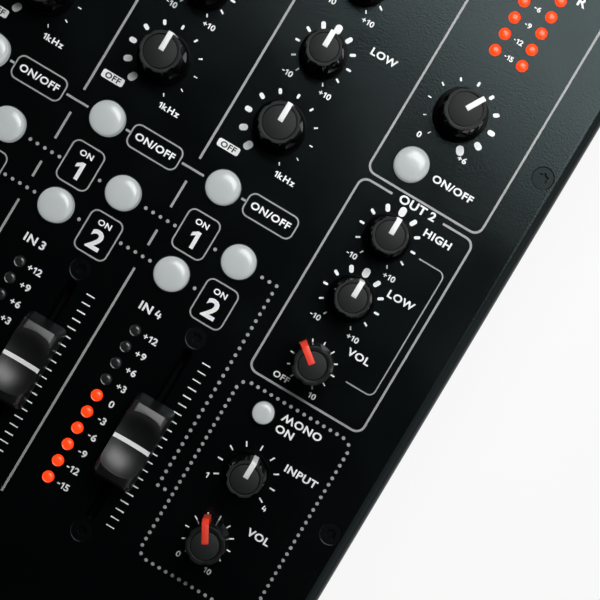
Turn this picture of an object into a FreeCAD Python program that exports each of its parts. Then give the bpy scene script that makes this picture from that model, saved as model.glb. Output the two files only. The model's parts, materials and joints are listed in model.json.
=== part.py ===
"""Four channel DJ mixer: a folded steel case, its control panel and everything they carry.

Millimetres. +X is the operator's right, +Y is the rear and +Z is up. The origin is under the middle
of the whole mixer, on the surface that the feet stand on.
"""
import FreeCAD
import Part
import math
import os

# Case
SHEET = 1.6
CASE_HEIGHT = 80.0
TRAY_BEND = 2.1
PANEL_SKIRT = 12.0
PANEL_GAP = 0.3
FLANGE_WIDTH = 15.0

# Rubber feet
FOOT_HEIGHT = 10.0
FOOT_RADIUS = 11.0
FOOT_TAPER = 1.5
FOOT_EDGE = 1.0
FOOT_INSET = 34.0
STUD_RADIUS = 3.0
STUD_HEAD_RADIUS = 4.6
STUD_HEAD_HEIGHT = 2.5
STUD_GAP = 0.2

# Columns and strips across the panel, from its left side
SIDE_MARGIN = 16.0
COLUMN_WIDTH = 41.6
COLUMN_GAP = 4.1
STRIP_COUNT = 4
STRIP_PITCH = 43.0

# Axes inside a strip or a column, from its left edge
STRIP_METER_INSET = 10.1
STRIP_BUTTON_INSET = 10.8
STRIP_KNOB_INSET = 16.5
STRIP_CUE_INSET = 27.3
STRIP_FADER_INSET = 28.1
COLUMN_BUTTON_INSET = 11.6
COLUMN_KNOB_INSET = 16.9

# Rows along the panel, from its front edge and then from one row to the next
CROSSFADER_ZONE = 62.0
FADER_ZONE = 83.6
CUE_B_STEP = 49.3
CUE_A_STEP = 14.3
FILTER_STEP = 17.9
SWEEP_STEP = 25.7
KNOB_PITCH = 27.0
REAR_MARGIN = 29.0
SOURCE_STEP = 6.7
SPLIT_STEP = 19.6
PHONES_STEP = 24.0
BOOTH_LEVEL_STEP = 47.7
BOOTH_BASS_STEP = 24.3
BOOTH_TREBLE_STEP = 22.7
EQ_ON_STEP = 23.9
MIX_LEVEL_STEP = 21.6

# Knobs, with heights from the panel's face
KNOB_GAP = 1.0
KNOB_HEIGHT = 15.0
SKIRT_RADIUS = 7.7
SKIRT_THICKNESS = 1.6
SKIRT_EDGE = 0.5
CAP_BASE_RADIUS = 6.6
CAP_TOP_RADIUS = 5.8
LARGE_SKIRT_RADIUS = 8.7
LARGE_BASE_RADIUS = 7.5
LARGE_TOP_RADIUS = 6.6
CAP_EDGE = 0.6
DISC_MARGIN = 1.1
GROOVE_WIDTH = 0.4
GROOVE_DEPTH = 0.35
FLUTE_COUNT = 6
FLUTE_RADIUS = 1.5
FLUTE_DEPTH = 0.45
FLUTE_FOOT = 0.8
POINTER_WIDTH = 1.8
POINTER_START = 0.5
POINTER_DEPTH = 1.2
POINTER_PROUD = 0.35
POINTER_FOOT = 0.3

# Knob shafts and the potentiometers that they turn in
SHAFT_RADIUS = 3.0
SHAFT_FLAT = 1.5
SHAFT_REACH = 11.0
SHAFT_GAP = 0.15
SHAFT_HOLE_GAP = 0.6
POT_WIDTH = 10.0
POT_HEIGHT = 6.5
POT_FLOOR = 1.5
BUSH_RADIUS = 4.4
BUSH_GAP = 1.0

# Push buttons, with heights from the panel's face
BUTTON_RADIUS = 5.75
SMALL_BUTTON_RADIUS = 3.6
BUTTON_RISE = 2.6
BUTTON_CROWN = 0.9
BUTTON_EDGE = 0.7
BUTTON_GAP = 0.3
BUTTON_LIP = 0.7
BUTTON_LIP_THICKNESS = 1.0
BUTTON_TRAVEL = 1.0
STEM_RADIUS = 2.0
STEM_GAP = 0.3
STEM_INSERTION = 1.5
SWITCH_WIDTH = 9.0
SWITCH_HEIGHT = 5.0
STEM_FLOOR_GAP = 0.7

# Faders, with heights from the panel's face
FADER_TRAVEL = 60.0
CROSSFADER_TRAVEL = 45.0
SLOT_WIDTH = 3.4
SLOT_WEB = 0.5
SLOT_END_GAP = 0.35
LEVER_WIDTH = 2.6
LEVER_THICKNESS = 1.2
LEVER_REACH = 7.0
LEVER_FLOOR_GAP = 0.6
TRACK_WIDTH = 14.0
TRACK_END = 6.0
TRACK_POCKET = 8.0
FADER_CAP_LENGTH = 30.0
FADER_CAP_WIDTH = 14.0
FADER_CAP_DRAFT = 2.1
FADER_CAP_SIDE_DRAFT = 0.8
FADER_CAP_GAP = 2.0
FADER_CAP_TOP = 13.0
FADER_CAP_CORNER = 1.5
SCOOP_RADIUS = 16.0
SCOOP_DEPTH = 4.2
LINE_WIDTH = 1.2
LINE_DEPTH = 0.4

# Level meters
LED_COUNT = 10
LED_PITCH = 6.05
LED_RADIUS = 1.8
LED_RISE = 0.5
LED_CROWN = 0.8
LED_EDGE = 0.8
LED_GAP = 0.2
METER_STEP = 28.0
PAIR_SPREAD = 10.0
PAIR_REAR_GAP = 26.0

# Countersunk screws
SCREW_HEAD_RADIUS = 3.65
SCREW_SHANK_RADIUS = 1.9
SCREW_LENGTH = 8.0
SCREW_GAP = 0.1
SCREW_SIDE_INSET = 7.7
SCREW_END_INSET = 12.0
SCREW_ROW_STEP = 66.2

# Control board
BOARD_DROP = 12.4
BOARD_THICKNESS = 1.6
BOARD_MARGIN = 9.0
BOARD_SIDE_GAP = 4.0
BOARD_GAP = 0.6
PILLAR_RADIUS = 2.6

# Sockets
PHONO_REACH = 11.9
PHONO_RADIUS = 4.15
PHONO_BORE_RADIUS = 1.65
PHONO_BORE_DEPTH = 9.0
PHONO_PITCH_ACROSS = 14.0
PHONO_PITCH_UP = 17.0
PHONO_BLOCK_DEPTH = 10.0
PHONO_BLOCK_EDGE = 6.5
SOCKET_GAP = 0.4
SOCKET_RISE = 34.0
XLR_PITCH = 26.8
XLR_WIDTH = 26.0
XLR_HEIGHT = 31.0
XLR_CORNER = 3.0
XLR_FLANGE = 2.0
XLR_BODY_RADIUS = 11.6
XLR_BODY_DEPTH = 20.0
XLR_WELL_RADIUS = 9.4
XLR_WELL_DEPTH = 15.0
XLR_PIN_COUNT = 3
XLR_PIN_START = 30.0
XLR_PIN_RADIUS = 1.2
XLR_PIN_CIRCLE = 4.4
XLR_PIN_LENGTH = 12.5
JACK_PITCH = 30.0
JACK_BEZEL_RADIUS = 6.4
JACK_BEZEL_THICKNESS = 1.5
JACK_NOSE_RADIUS = 4.8
JACK_BORE_RADIUS = 3.3
JACK_BORE_DEPTH = 25.0
JACK_WIDTH = 15.0
JACK_FLOOR = 3.0

# Mains inlet and switch
INLET_INSET = 27.9
INLET_WIDTH = 30.0
INLET_HEIGHT = 23.0
INLET_FLANGE = 2.0
INLET_BODY_WALL = 1.6
INLET_WELL_WIDTH = 24.0
INLET_WELL_HEIGHT = 16.6
INLET_WELL_DEPTH = 15.5
INLET_CORNER = 4.0
INLET_FLOOR = 2.5
BLADE_WIDTH = 2.0
BLADE_HEIGHT = 4.0
BLADE_LENGTH = 13.0
BLADE_PITCH = 7.0
BLADE_OFFSET = 2.0
SWITCH_PITCH = 28.0
ROCKER_RADIUS = 8.0
ROCKER_WIDTH = 10.0
ROCKER_GAP = 0.4
ROCKER_TILT = 9.0
ROCKER_FACE = 3.2
ROCKER_BACK = 2.4
ROCKER_PIVOT_DEPTH = 3.0
ROCKER_WELL_DEPTH = 9.0
ROCKER_PIN_RADIUS = 1.2
ROCKER_PIN_LENGTH = 0.9
ROCKER_PIN_GAP = 0.2
ROCKER_FRAME = 2.2
ROCKER_FLANGE = 1.8

# Power supply on the tray's floor
SUPPLY_WIDTH = 96.0
SUPPLY_DEPTH = 62.0
SUPPLY_X = 70.0
SUPPLY_REAR_GAP = 42.0
SUPPLY_RISE = 7.0
SUPPLY_INSET = 6.0
CORE_WIDTH = 40.0
CORE_DEPTH = 34.0
CORE_HEIGHT = 30.0
COIL_MARGIN = 4.0
CAPACITOR_RADIUS = 8.0
CAPACITOR_HEIGHT = 26.0
CAPACITOR_PITCH = 19.0
SINK_WIDTH = 36.0
SINK_DEPTH = 16.0
SINK_HEIGHT = 26.0
SINK_FIN = 2.0
SINK_FINS = 6

# Where each control stands: clockwise turn of a knob, and travel of a fader from its middle
GAIN_TURN = (-24.0, 18.0, -6.0, 12.0)
TREBLE_TURN = (0.0, -15.0, 0.0, 0.0)
MIDDLE_TURN = (-30.0, 0.0, 15.0, 0.0)
BASS_TURN = (0.0, 0.0, -45.0, 0.0)
SWEEP_TURN = (60.0, 0.0, 0.0, 0.0)
MIX_TURN = 30.0
BOOTH_TURN = -52.0
PHONES_TURN = (-30.0, -75.0)
SOURCE_TURN = (0.0, 0.0)
MIC_TURN = -110.0
FADER_SHIFT = (-14.0, 9.0, 2.0, -2.6)
CROSSFADER_SHIFT = 0.0

TONE = (SKIRT_RADIUS, CAP_BASE_RADIUS, CAP_TOP_RADIUS)
LARGE = (LARGE_SKIRT_RADIUS, LARGE_BASE_RADIUS, LARGE_TOP_RADIUS)
LEVEL = (0.0, CAP_BASE_RADIUS, CAP_TOP_RADIUS)
KNOB_ROWS = (
    ("sweep", LARGE, SWEEP_TURN),
    ("bass", TONE, BASS_TURN),
    ("middle", TONE, MIDDLE_TURN),
    ("treble", TONE, TREBLE_TURN),
    ("gain", LEVEL, GAIN_TURN),
)

FRONTWARD = FreeCAD.Vector(0, -1, 0)
REARWARD = FreeCAD.Vector(0, 1, 0)
UP = FreeCAD.Vector(0, 0, 1)

# The case
wall_inset = SHEET + PANEL_GAP
edge_radius = wall_inset + TRAY_BEND
case_width = 2 * (SIDE_MARGIN + COLUMN_WIDTH + COLUMN_GAP) + STRIP_COUNT * STRIP_PITCH
top_row_rise = CUE_B_STEP + CUE_A_STEP + FILTER_STEP + SWEEP_STEP + (len(KNOB_ROWS) - 1) * KNOB_PITCH
case_depth = CROSSFADER_ZONE + FADER_ZONE / 2 + top_row_rise + REAR_MARGIN
front = -(case_depth - wall_inset + PHONO_REACH) / 2
rear = front + case_depth
middle = (front + rear) / 2
left = -case_width / 2
panel_top = FOOT_HEIGHT + CASE_HEIGHT
panel_under = panel_top - SHEET
board_top = panel_under - BOARD_DROP
board_depth_below = SHEET + BOARD_DROP
front_wall = front + wall_inset
rear_wall = rear - wall_inset
socket_z = FOOT_HEIGHT + SOCKET_RISE

# Rows and axes of the controls
left_column = left + SIDE_MARGIN
first_strip = left_column + COLUMN_WIDTH + COLUMN_GAP
strips = [first_strip + number * STRIP_PITCH for number in range(STRIP_COUNT)]
right_column = strips[-1] + STRIP_PITCH + COLUMN_GAP
fader_y = front + CROSSFADER_ZONE + FADER_ZONE / 2
crossfader_y = front + CROSSFADER_ZONE / 2
cue_b_y = fader_y + CUE_B_STEP
cue_a_y = cue_b_y + CUE_A_STEP
filter_y = cue_a_y + FILTER_STEP
sweep_y = filter_y + SWEEP_STEP
source_y = fader_y + SOURCE_STEP
split_y = source_y + SPLIT_STEP
phones_y = source_y - PHONES_STEP
booth_level_y = fader_y + BOOTH_LEVEL_STEP
booth_bass_y = booth_level_y + BOOTH_BASS_STEP
booth_treble_y = booth_bass_y + BOOTH_TREBLE_STEP
eq_on_y = booth_treble_y + EQ_ON_STEP
mix_level_y = eq_on_y + MIX_LEVEL_STEP


def place_controls():
    """Name every knob, button and fader with its axis on the panel and how it stands."""
    knobs = {}
    buttons = {}
    faders = {}
    for index, strip in enumerate(strips):
        number = index + 1
        for row, (word, kind, turns) in enumerate(KNOB_ROWS):
            y = sweep_y + row * KNOB_PITCH
            knobs[f"{word}_knob_{number}"] = (strip + STRIP_KNOB_INSET, y, kind, turns[index % len(turns)])
        buttons[f"filter_button_{number}"] = (strip + STRIP_BUTTON_INSET, filter_y, BUTTON_RADIUS)
        buttons[f"cue_a_button_{number}"] = (strip + STRIP_CUE_INSET, cue_a_y, BUTTON_RADIUS)
        buttons[f"cue_b_button_{number}"] = (strip + STRIP_BUTTON_INSET, cue_b_y, BUTTON_RADIUS)
        faders[f"fader_{number}"] = (strip + STRIP_FADER_INSET, fader_y, FADER_SHIFT[index % len(FADER_SHIFT)])
    knob_x = right_column + COLUMN_KNOB_INSET
    knobs["booth_level_knob"] = (knob_x, booth_level_y, LEVEL, BOOTH_TURN)
    knobs["booth_bass_knob"] = (knob_x, booth_bass_y, TONE, 0.0)
    knobs["booth_treble_knob"] = (knob_x, booth_treble_y, TONE, 0.0)
    knobs["mix_level_knob"] = (knob_x, mix_level_y, LARGE, MIX_TURN)
    knobs["mic_level_knob"] = (left_column + COLUMN_KNOB_INSET, booth_bass_y, LEVEL, MIC_TURN)
    buttons["eq_on_button"] = (right_column + COLUMN_BUTTON_INSET, eq_on_y, BUTTON_RADIUS)
    for index, (letter, column) in enumerate((("a", right_column), ("b", left_column))):
        knob_x = column + COLUMN_KNOB_INSET
        knobs[f"source_knob_{letter}"] = (knob_x, source_y, TONE, SOURCE_TURN[index])
        knobs[f"phones_level_knob_{letter}"] = (knob_x, phones_y, LEVEL, PHONES_TURN[index])
        button_x = column + COLUMN_BUTTON_INSET
        buttons[f"split_cue_button_{letter}"] = (button_x, split_y, SMALL_BUTTON_RADIUS)
    return knobs, buttons, faders


def place_leds():
    """Axes of all meter lamps: a row in each strip, and a pair of rows at the rear of each column."""
    places = []
    for strip in strips:
        for step in range(LED_COUNT):
            places.append((strip + STRIP_METER_INSET, fader_y + METER_STEP - step * LED_PITCH))
    for column in (left_column, right_column):
        for side in (-0.5, 0.5):
            x = column + COLUMN_WIDTH / 2 + side * PAIR_SPREAD
            for step in range(LED_COUNT):
                places.append((x, rear - PAIR_REAR_GAP - step * LED_PITCH))
    return places


knobs, buttons, faders = place_controls()
leds = place_leds()
left_middle = left_column + COLUMN_WIDTH / 2
right_middle = right_column + COLUMN_WIDTH / 2
jacks = {
    "phones_jack_b": left_middle,
    "microphone_jack": left_middle + JACK_PITCH,
    "phones_jack_a": right_middle,
}
inlet_x = right_column + INLET_INSET
switch_x = inlet_x - SWITCH_PITCH
xlr_places = (left_middle - XLR_PITCH / 2, left_middle + XLR_PITCH / 2)
phono_centres = [strip + STRIP_PITCH / 2 for strip in strips]


def slot_half(travel):
    """Half the length of a slot in which a lever runs the whole travel."""
    return (travel + LEVER_WIDTH) / 2 + SLOT_END_GAP


def slot_screw(travel):
    """How far from a fader's middle its two screws stand."""
    return slot_half(travel) + SLOT_WEB + SCREW_HEAD_RADIUS


def place_screws():
    """Axes of all countersunk screws: at both ends of each fader, and along the case's sides."""
    places = []
    for x, y, shift in faders.values():
        for side in (-1, 1):
            places.append((x, y + side * slot_screw(FADER_TRAVEL)))
    for side in (-1, 1):
        places.append((side * slot_screw(CROSSFADER_TRAVEL), crossfader_y))
        edge_x = side * (case_width / 2 - SCREW_SIDE_INSET)
        for row in (SCREW_ROW_STEP, case_depth / 2 - SCREW_END_INSET):
            places.append((edge_x, middle - row))
            places.append((edge_x, middle + row))
    return places


screws = place_screws()


def block(width, depth, height, x, y, z):
    """Box whose middle is over x and y, standing on z."""
    corner = FreeCAD.Vector(x - width / 2, y - depth / 2, z)
    return Part.makeBox(width, depth, height, corner)


def post(radius, height, x, y, z):
    """Upright cylinder standing on z."""
    return Part.makeCylinder(radius, height, FreeCAD.Vector(x, y, z))


def rod(radius, length, x, y, z, along):
    """Cylinder that starts at a point and runs along a direction."""
    return Part.makeCylinder(radius, length, FreeCAD.Vector(x, y, z), along)


def upright_edges(shape):
    """The straight edges of a box that stand up."""
    return [edge for edge in shape.Edges if abs(edge.tangentAt(edge.FirstParameter).z) > 0.9]


def top_edges(shape):
    """The edges of a box that lie at its highest level."""
    high = shape.BoundBox.ZMax
    return [edge for edge in shape.Edges if edge.BoundBox.ZMin > high - 0.01]


def round_block(width, depth, height, radius, x, y, z):
    """Box with rounded upright edges."""
    shape = block(width, depth, height, x, y, z)
    return shape.makeFillet(radius, upright_edges(shape))


def folded_block(width, depth, height, radius, x, y, z):
    """Box with rounded upright edges and rounded top edges, as a folded sheet has outside."""
    shape = block(width, depth, height, x, y, z)
    return shape.makeFillet(radius, upright_edges(shape) + top_edges(shape))


def turned(start, *steps):
    """Solid turned about Z. A step is a point (r, z), or (r, z, r, z) for an arc through the first."""
    first = FreeCAD.Vector(start[0], 0, start[1])
    here = first
    edges = []
    for step in steps:
        there = FreeCAD.Vector(step[-2], 0, step[-1])
        if len(step) == 4:
            through = FreeCAD.Vector(step[0], 0, step[1])
            edges.append(Part.Arc(here, through, there).toShape())
        else:
            edges.append(Part.makeLine(here, there))
        here = there
    edges.append(Part.makeLine(here, first))
    return Part.Face(Part.Wire(edges)).revolve(FreeCAD.Vector(0, 0, 0), UP, 360)


def dome(radius, height, crown):
    """Arc step of a turned profile: part of a sphere that rises from a rim to its top on the axis."""
    sphere = (radius ** 2 + crown ** 2) / (2 * crown)
    half_angle = math.asin(radius / sphere) / 2
    centre = height + crown - sphere
    through = (sphere * math.sin(half_angle), centre + sphere * math.cos(half_angle))
    return through + (0, height + crown)


def slot(length, width, height, x, y, z, across=False):
    """Upright solid with half round ends: the space that a slot takes away, along Y or across X."""
    straight = length - width
    if across:
        shape = block(straight, width, height, x, y, z)
    else:
        shape = block(width, straight, height, x, y, z)
    for side in (-0.5, 0.5):
        end_x = x + side * straight if across else x
        end_y = y if across else y + side * straight
        shape = shape.fuse(post(width / 2, height, end_x, end_y, z))
    return shape.removeSplitter()


def countersink(gap, x, y):
    """Space of a screw's head and shank in the panel's sheet, larger than the screw by a gap."""
    low = FreeCAD.Vector(x, y, panel_under)
    return Part.makeCone(SCREW_SHANK_RADIUS + gap, SCREW_HEAD_RADIUS + gap, SHEET, low)


def top_panel():
    """Sheet with its edges folded down, and a hole, slot or countersink for everything it holds."""
    shell = folded_block(
        case_width, case_depth, PANEL_SKIRT, edge_radius, 0, middle, panel_top - PANEL_SKIRT
    )
    inside = folded_block(
        case_width - 2 * SHEET,
        case_depth - 2 * SHEET,
        PANEL_SKIRT - SHEET,
        edge_radius - SHEET,
        0,
        middle,
        panel_top - PANEL_SKIRT,
    )
    low = panel_under - SHEET
    depth = 3 * SHEET
    holes = [post(SHAFT_RADIUS + SHAFT_HOLE_GAP, depth, x, y, low) for x, y, kind, turn in knobs.values()]
    holes += [post(radius + BUTTON_GAP, depth, x, y, low) for x, y, radius in buttons.values()]
    holes += [post(LED_RADIUS + LED_GAP, depth, x, y, low) for x, y in leds]
    holes += [countersink(SCREW_GAP, x, y) for x, y in screws]
    for x, y, shift in faders.values():
        holes.append(slot(2 * slot_half(FADER_TRAVEL), SLOT_WIDTH, depth, x, y, low))
    cross_length = 2 * slot_half(CROSSFADER_TRAVEL)
    holes.append(slot(cross_length, SLOT_WIDTH, depth, 0, crossfader_y, low, across=True))
    return [shell.cut([inside] + holes)]


def base_tray():
    """Pan of folded sheet with flanges that the panel is screwed to, closed by two end plates."""
    width = case_width - 2 * wall_inset
    depth = case_depth - 2 * wall_inset
    height = panel_under - FOOT_HEIGHT
    shell = folded_block(width, depth, height, TRAY_BEND, 0, middle, FOOT_HEIGHT)
    inside = block(
        width - 2 * SHEET, depth - 2 * SHEET, height - 2 * SHEET, 0, middle, FOOT_HEIGHT + SHEET
    )
    window = block(
        width - 2 * FLANGE_WIDTH, depth - 2 * FLANGE_WIDTH, 3 * SHEET, 0, middle, panel_under - 2 * SHEET
    )
    through = 3 * SHEET
    cuts = [inside, window]
    for x, y in screws:
        cuts.append(post(SCREW_SHANK_RADIUS + SCREW_GAP, through, x, y, panel_under - 2 * SHEET))
    for x, y in foot_places():
        cuts.append(post(STUD_RADIUS + STUD_GAP, through, x, y, FOOT_HEIGHT - SHEET))
    for x in jacks.values():
        cuts.append(rod(JACK_NOSE_RADIUS + SOCKET_GAP, through, x, front_wall - SHEET, socket_z, REARWARD))
    behind = rear_wall + SHEET
    for x in xlr_places:
        cuts.append(rod(XLR_BODY_RADIUS + SOCKET_GAP, through, x, behind, socket_z, FRONTWARD))
    for x, z in phono_places():
        cuts.append(rod(PHONO_RADIUS + SOCKET_GAP, through, x, behind, z, FRONTWARD))
    inlet_width, inlet_height = inlet_body()
    switch_width, switch_height = switch_body()
    for x, wide, high in ((inlet_x, inlet_width, inlet_height), (switch_x, switch_width, switch_height)):
        wide += 2 * SOCKET_GAP
        high += 2 * SOCKET_GAP
        cuts.append(block(wide, through, high, x, rear_wall - SHEET / 2, socket_z - high / 2))
    case = shell.cut(cuts)
    front_slab = block(width, SHEET, height, 0, front_wall + SHEET / 2, FOOT_HEIGHT)
    rear_slab = block(width, SHEET, height, 0, rear_wall - SHEET / 2, FOOT_HEIGHT)
    pan = case.cut([front_slab, rear_slab])
    return pan.Solids + case.common(front_slab).Solids + case.common(rear_slab).Solids


def foot_places():
    """Axes of the four feet."""
    across = case_width / 2 - FOOT_INSET
    along = case_depth / 2 - FOOT_INSET
    return [(x, middle + y) for x in (-across, across) for y in (-along, along)]


def phono_places():
    """Axes of the phono sockets in the rear wall, two by two behind each strip."""
    places = []
    for centre in phono_centres:
        for across in (-0.5, 0.5):
            for up in (-0.5, 0.5):
                places.append((centre + across * PHONO_PITCH_ACROSS, socket_z + up * PHONO_PITCH_UP))
    return places


def inlet_body():
    """Width and height of the inlet's body where it passes the wall."""
    return INLET_WELL_WIDTH + 2 * INLET_BODY_WALL, INLET_WELL_HEIGHT + 2 * INLET_BODY_WALL


def switch_body():
    """Width and height of the switch's frame where it passes the wall."""
    wide = ROCKER_WIDTH + 2 * (ROCKER_GAP + ROCKER_FRAME)
    high = 2 * (ROCKER_RADIUS + ROCKER_GAP + ROCKER_FRAME)
    return wide, high


def rubber_feet():
    """Tapered rubber feet, each with a stud that is pushed through the tray's floor."""
    neck = FOOT_HEIGHT + SHEET
    head = neck + STUD_HEAD_HEIGHT
    foot = turned(
        (0, 0),
        (FOOT_RADIUS - FOOT_TAPER - FOOT_EDGE, 0),
        (FOOT_RADIUS - FOOT_TAPER, FOOT_EDGE),
        (FOOT_RADIUS, FOOT_HEIGHT),
        (STUD_RADIUS, FOOT_HEIGHT),
        (STUD_RADIUS, neck),
        (STUD_HEAD_RADIUS, neck),
        (STUD_RADIUS, head),
        (0, head),
    )
    return [foot.translated(FreeCAD.Vector(x, y, 0)) for x, y in foot_places()]


def panel_screws():
    """Countersunk screws whose heads lie flush with the panel."""
    low = panel_top - SHEET
    pieces = []
    for x, y in screws:
        head = countersink(0, x, y)
        shank = post(SCREW_SHANK_RADIUS, SCREW_LENGTH, x, y, low - SCREW_LENGTH)
        pieces.append(head.fuse(shank))
    return pieces


def knob_shaft():
    """Shaft of a potentiometer, flat on one side where the knob's cap is pushed on."""
    foot = POT_FLOOR + SHAFT_GAP - board_depth_below
    shaft = post(SHAFT_RADIUS, SHAFT_REACH - foot, 0, 0, foot)
    width = 2 * SHAFT_RADIUS
    flat = block(width, width, SHAFT_REACH, 0, -SHAFT_FLAT - SHAFT_RADIUS, KNOB_GAP)
    return shaft.cut(flat)


def knob_pointer(base, crown, deck):
    """Insert that runs from the middle of the cap over its edge and down its side, towards +Y."""
    inner = crown - POINTER_DEPTH
    top = KNOB_HEIGHT + POINTER_PROUD
    under = KNOB_HEIGHT - POINTER_DEPTH
    foot = deck + POINTER_FOOT
    outline = [
        (POINTER_START, under),
        (POINTER_START, top),
        (crown + POINTER_PROUD, top),
        (base + POINTER_PROUD, foot),
        (inner, foot),
        (inner, under),
    ]
    points = [FreeCAD.Vector(-POINTER_WIDTH / 2, r, z) for r, z in outline]
    face = Part.Face(Part.makePolygon(points + points[:1]))
    return face.extrude(FreeCAD.Vector(POINTER_WIDTH, 0, 0))


def knob_cap(skirt, base, crown):
    """Turned cap with a skirt where it has one, a ring groove on top and flutes down its side."""
    groove = crown - DISC_MARGIN
    steps = [(base, KNOB_GAP)]
    deck = KNOB_GAP
    if skirt:
        deck = KNOB_GAP + SKIRT_THICKNESS
        steps = [
            (skirt, KNOB_GAP),
            (skirt, deck - SKIRT_EDGE),
            (skirt - SKIRT_EDGE, deck),
            (base, deck),
        ]
    steps += [
        (crown, KNOB_HEIGHT - CAP_EDGE),
        (crown - CAP_EDGE, KNOB_HEIGHT),
        (groove, KNOB_HEIGHT),
        (groove, KNOB_HEIGHT - GROOVE_DEPTH),
        (groove - GROOVE_WIDTH, KNOB_HEIGHT - GROOVE_DEPTH),
        (groove - GROOVE_WIDTH, KNOB_HEIGHT),
        (0, KNOB_HEIGHT),
    ]
    cap = turned((0, KNOB_GAP), *steps)
    flute_axis = crown - FLUTE_DEPTH + FLUTE_RADIUS
    flutes = []
    for number in range(FLUTE_COUNT):
        angle = 2 * math.pi * number / FLUTE_COUNT
        x = flute_axis * math.sin(angle)
        y = flute_axis * math.cos(angle)
        flutes.append(post(FLUTE_RADIUS, KNOB_HEIGHT, x, y, deck + FLUTE_FOOT))
    return cap.cut(flutes), deck


def knob_pieces(kind):
    """Cap, pointer and shaft of one kind of knob on the Z axis, above a panel face at zero."""
    skirt, base, crown = kind
    cap, deck = knob_cap(skirt, base, crown)
    pointer = knob_pointer(base, crown, deck)
    shaft = knob_shaft()
    return [cap.cut([pointer, shaft]), pointer, shaft]


def button(radius):
    """Domed button cap with a lip under the panel and a stem that enters its switch."""
    lip_top = -SHEET - BUTTON_GAP
    lip_low = lip_top - BUTTON_LIP_THICKNESS
    lip = radius + BUTTON_GAP + BUTTON_LIP
    stem_low = SWITCH_HEIGHT - STEM_INSERTION - board_depth_below
    return turned(
        (0, stem_low),
        (STEM_RADIUS, stem_low),
        (STEM_RADIUS, lip_low),
        (lip, lip_low),
        (lip, lip_top),
        (radius, lip_top),
        (radius, BUTTON_RISE - BUTTON_EDGE),
        (radius - BUTTON_EDGE, BUTTON_RISE),
        dome(radius - BUTTON_EDGE, BUTTON_RISE, BUTTON_CROWN),
    )


def fader_cap():
    """Tapered cap with a scooped top for a finger, hollow for its lever, and its index line."""
    height = FADER_CAP_TOP - FADER_CAP_GAP
    wires = []
    for level, inset, side_inset in ((0, 0, 0), (height, FADER_CAP_DRAFT, FADER_CAP_SIDE_DRAFT)):
        width = FADER_CAP_WIDTH - 2 * side_inset
        length = FADER_CAP_LENGTH - 2 * inset
        plate = round_block(width, length, 1, FADER_CAP_CORNER, 0, 0, FADER_CAP_GAP + level)
        low = min(plate.Faces, key=lambda face: face.CenterOfMass.z)
        wires.append(low.OuterWire)
    body = Part.makeLoft(wires, True, True)
    scoop_centre = FreeCAD.Vector(0, 0, FADER_CAP_TOP - SCOOP_DEPTH + SCOOP_RADIUS)
    body = body.cut(Part.makeSphere(SCOOP_RADIUS, scoop_centre))
    band = block(FADER_CAP_WIDTH, LINE_WIDTH, FADER_CAP_TOP, 0, 0, FADER_CAP_GAP)
    line = body.common(band).common(Part.makeSphere(SCOOP_RADIUS + LINE_DEPTH, scoop_centre))
    return body.cut(line), line.Solids[0]


def fader_pieces():
    """Cap, index line and lever of one fader that runs along Y, above a panel face at zero."""
    cap, line = fader_cap()
    low = LEVER_FLOOR_GAP - SHEET - TRACK_POCKET
    lever = block(LEVER_THICKNESS, LEVER_WIDTH, LEVER_REACH - low, 0, 0, low)
    return [cap.cut(lever), line, lever]


def fader_track(travel, x, y, across):
    """Steel body of one fader under the panel, with the pocket that its lever runs in."""
    length = 2 * (slot_screw(travel) + TRACK_END)
    height = BOARD_DROP - BOARD_GAP
    width, depth = (length, TRACK_WIDTH) if across else (TRACK_WIDTH, length)
    body = block(width, depth, height, x, y, panel_under - height)
    pocket = slot(
        2 * slot_half(travel), SLOT_WIDTH, TRACK_POCKET + SHEET, x, y, panel_under - TRACK_POCKET, across
    )
    holes = []
    for side in (-1, 1):
        hole_x = x + side * slot_screw(travel) if across else x
        hole_y = y if across else y + side * slot_screw(travel)
        holes.append(
            post(SCREW_SHANK_RADIUS + SCREW_GAP, SCREW_LENGTH + BOARD_GAP, hole_x, hole_y,
                 panel_under - SCREW_LENGTH - BOARD_GAP)
        )
    return body.cut([pocket] + holes)


def fader_tracks():
    """The bodies of the four channel faders and the crossfader."""
    tracks = [fader_track(FADER_TRAVEL, x, y, False) for x, y, shift in faders.values()]
    tracks.append(fader_track(CROSSFADER_TRAVEL, 0, crossfader_y, True))
    return tracks


def meter_leds():
    """Round lamps that stand on the board and show through the panel."""
    height = board_depth_below + LED_RISE
    tip = height + LED_CROWN
    lamp = turned((0, 0), (LED_RADIUS, 0), (LED_RADIUS, height), (LED_RADIUS - LED_EDGE, tip), (0, tip))
    return [lamp.translated(FreeCAD.Vector(x, y, board_top)) for x, y in leds]


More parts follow.
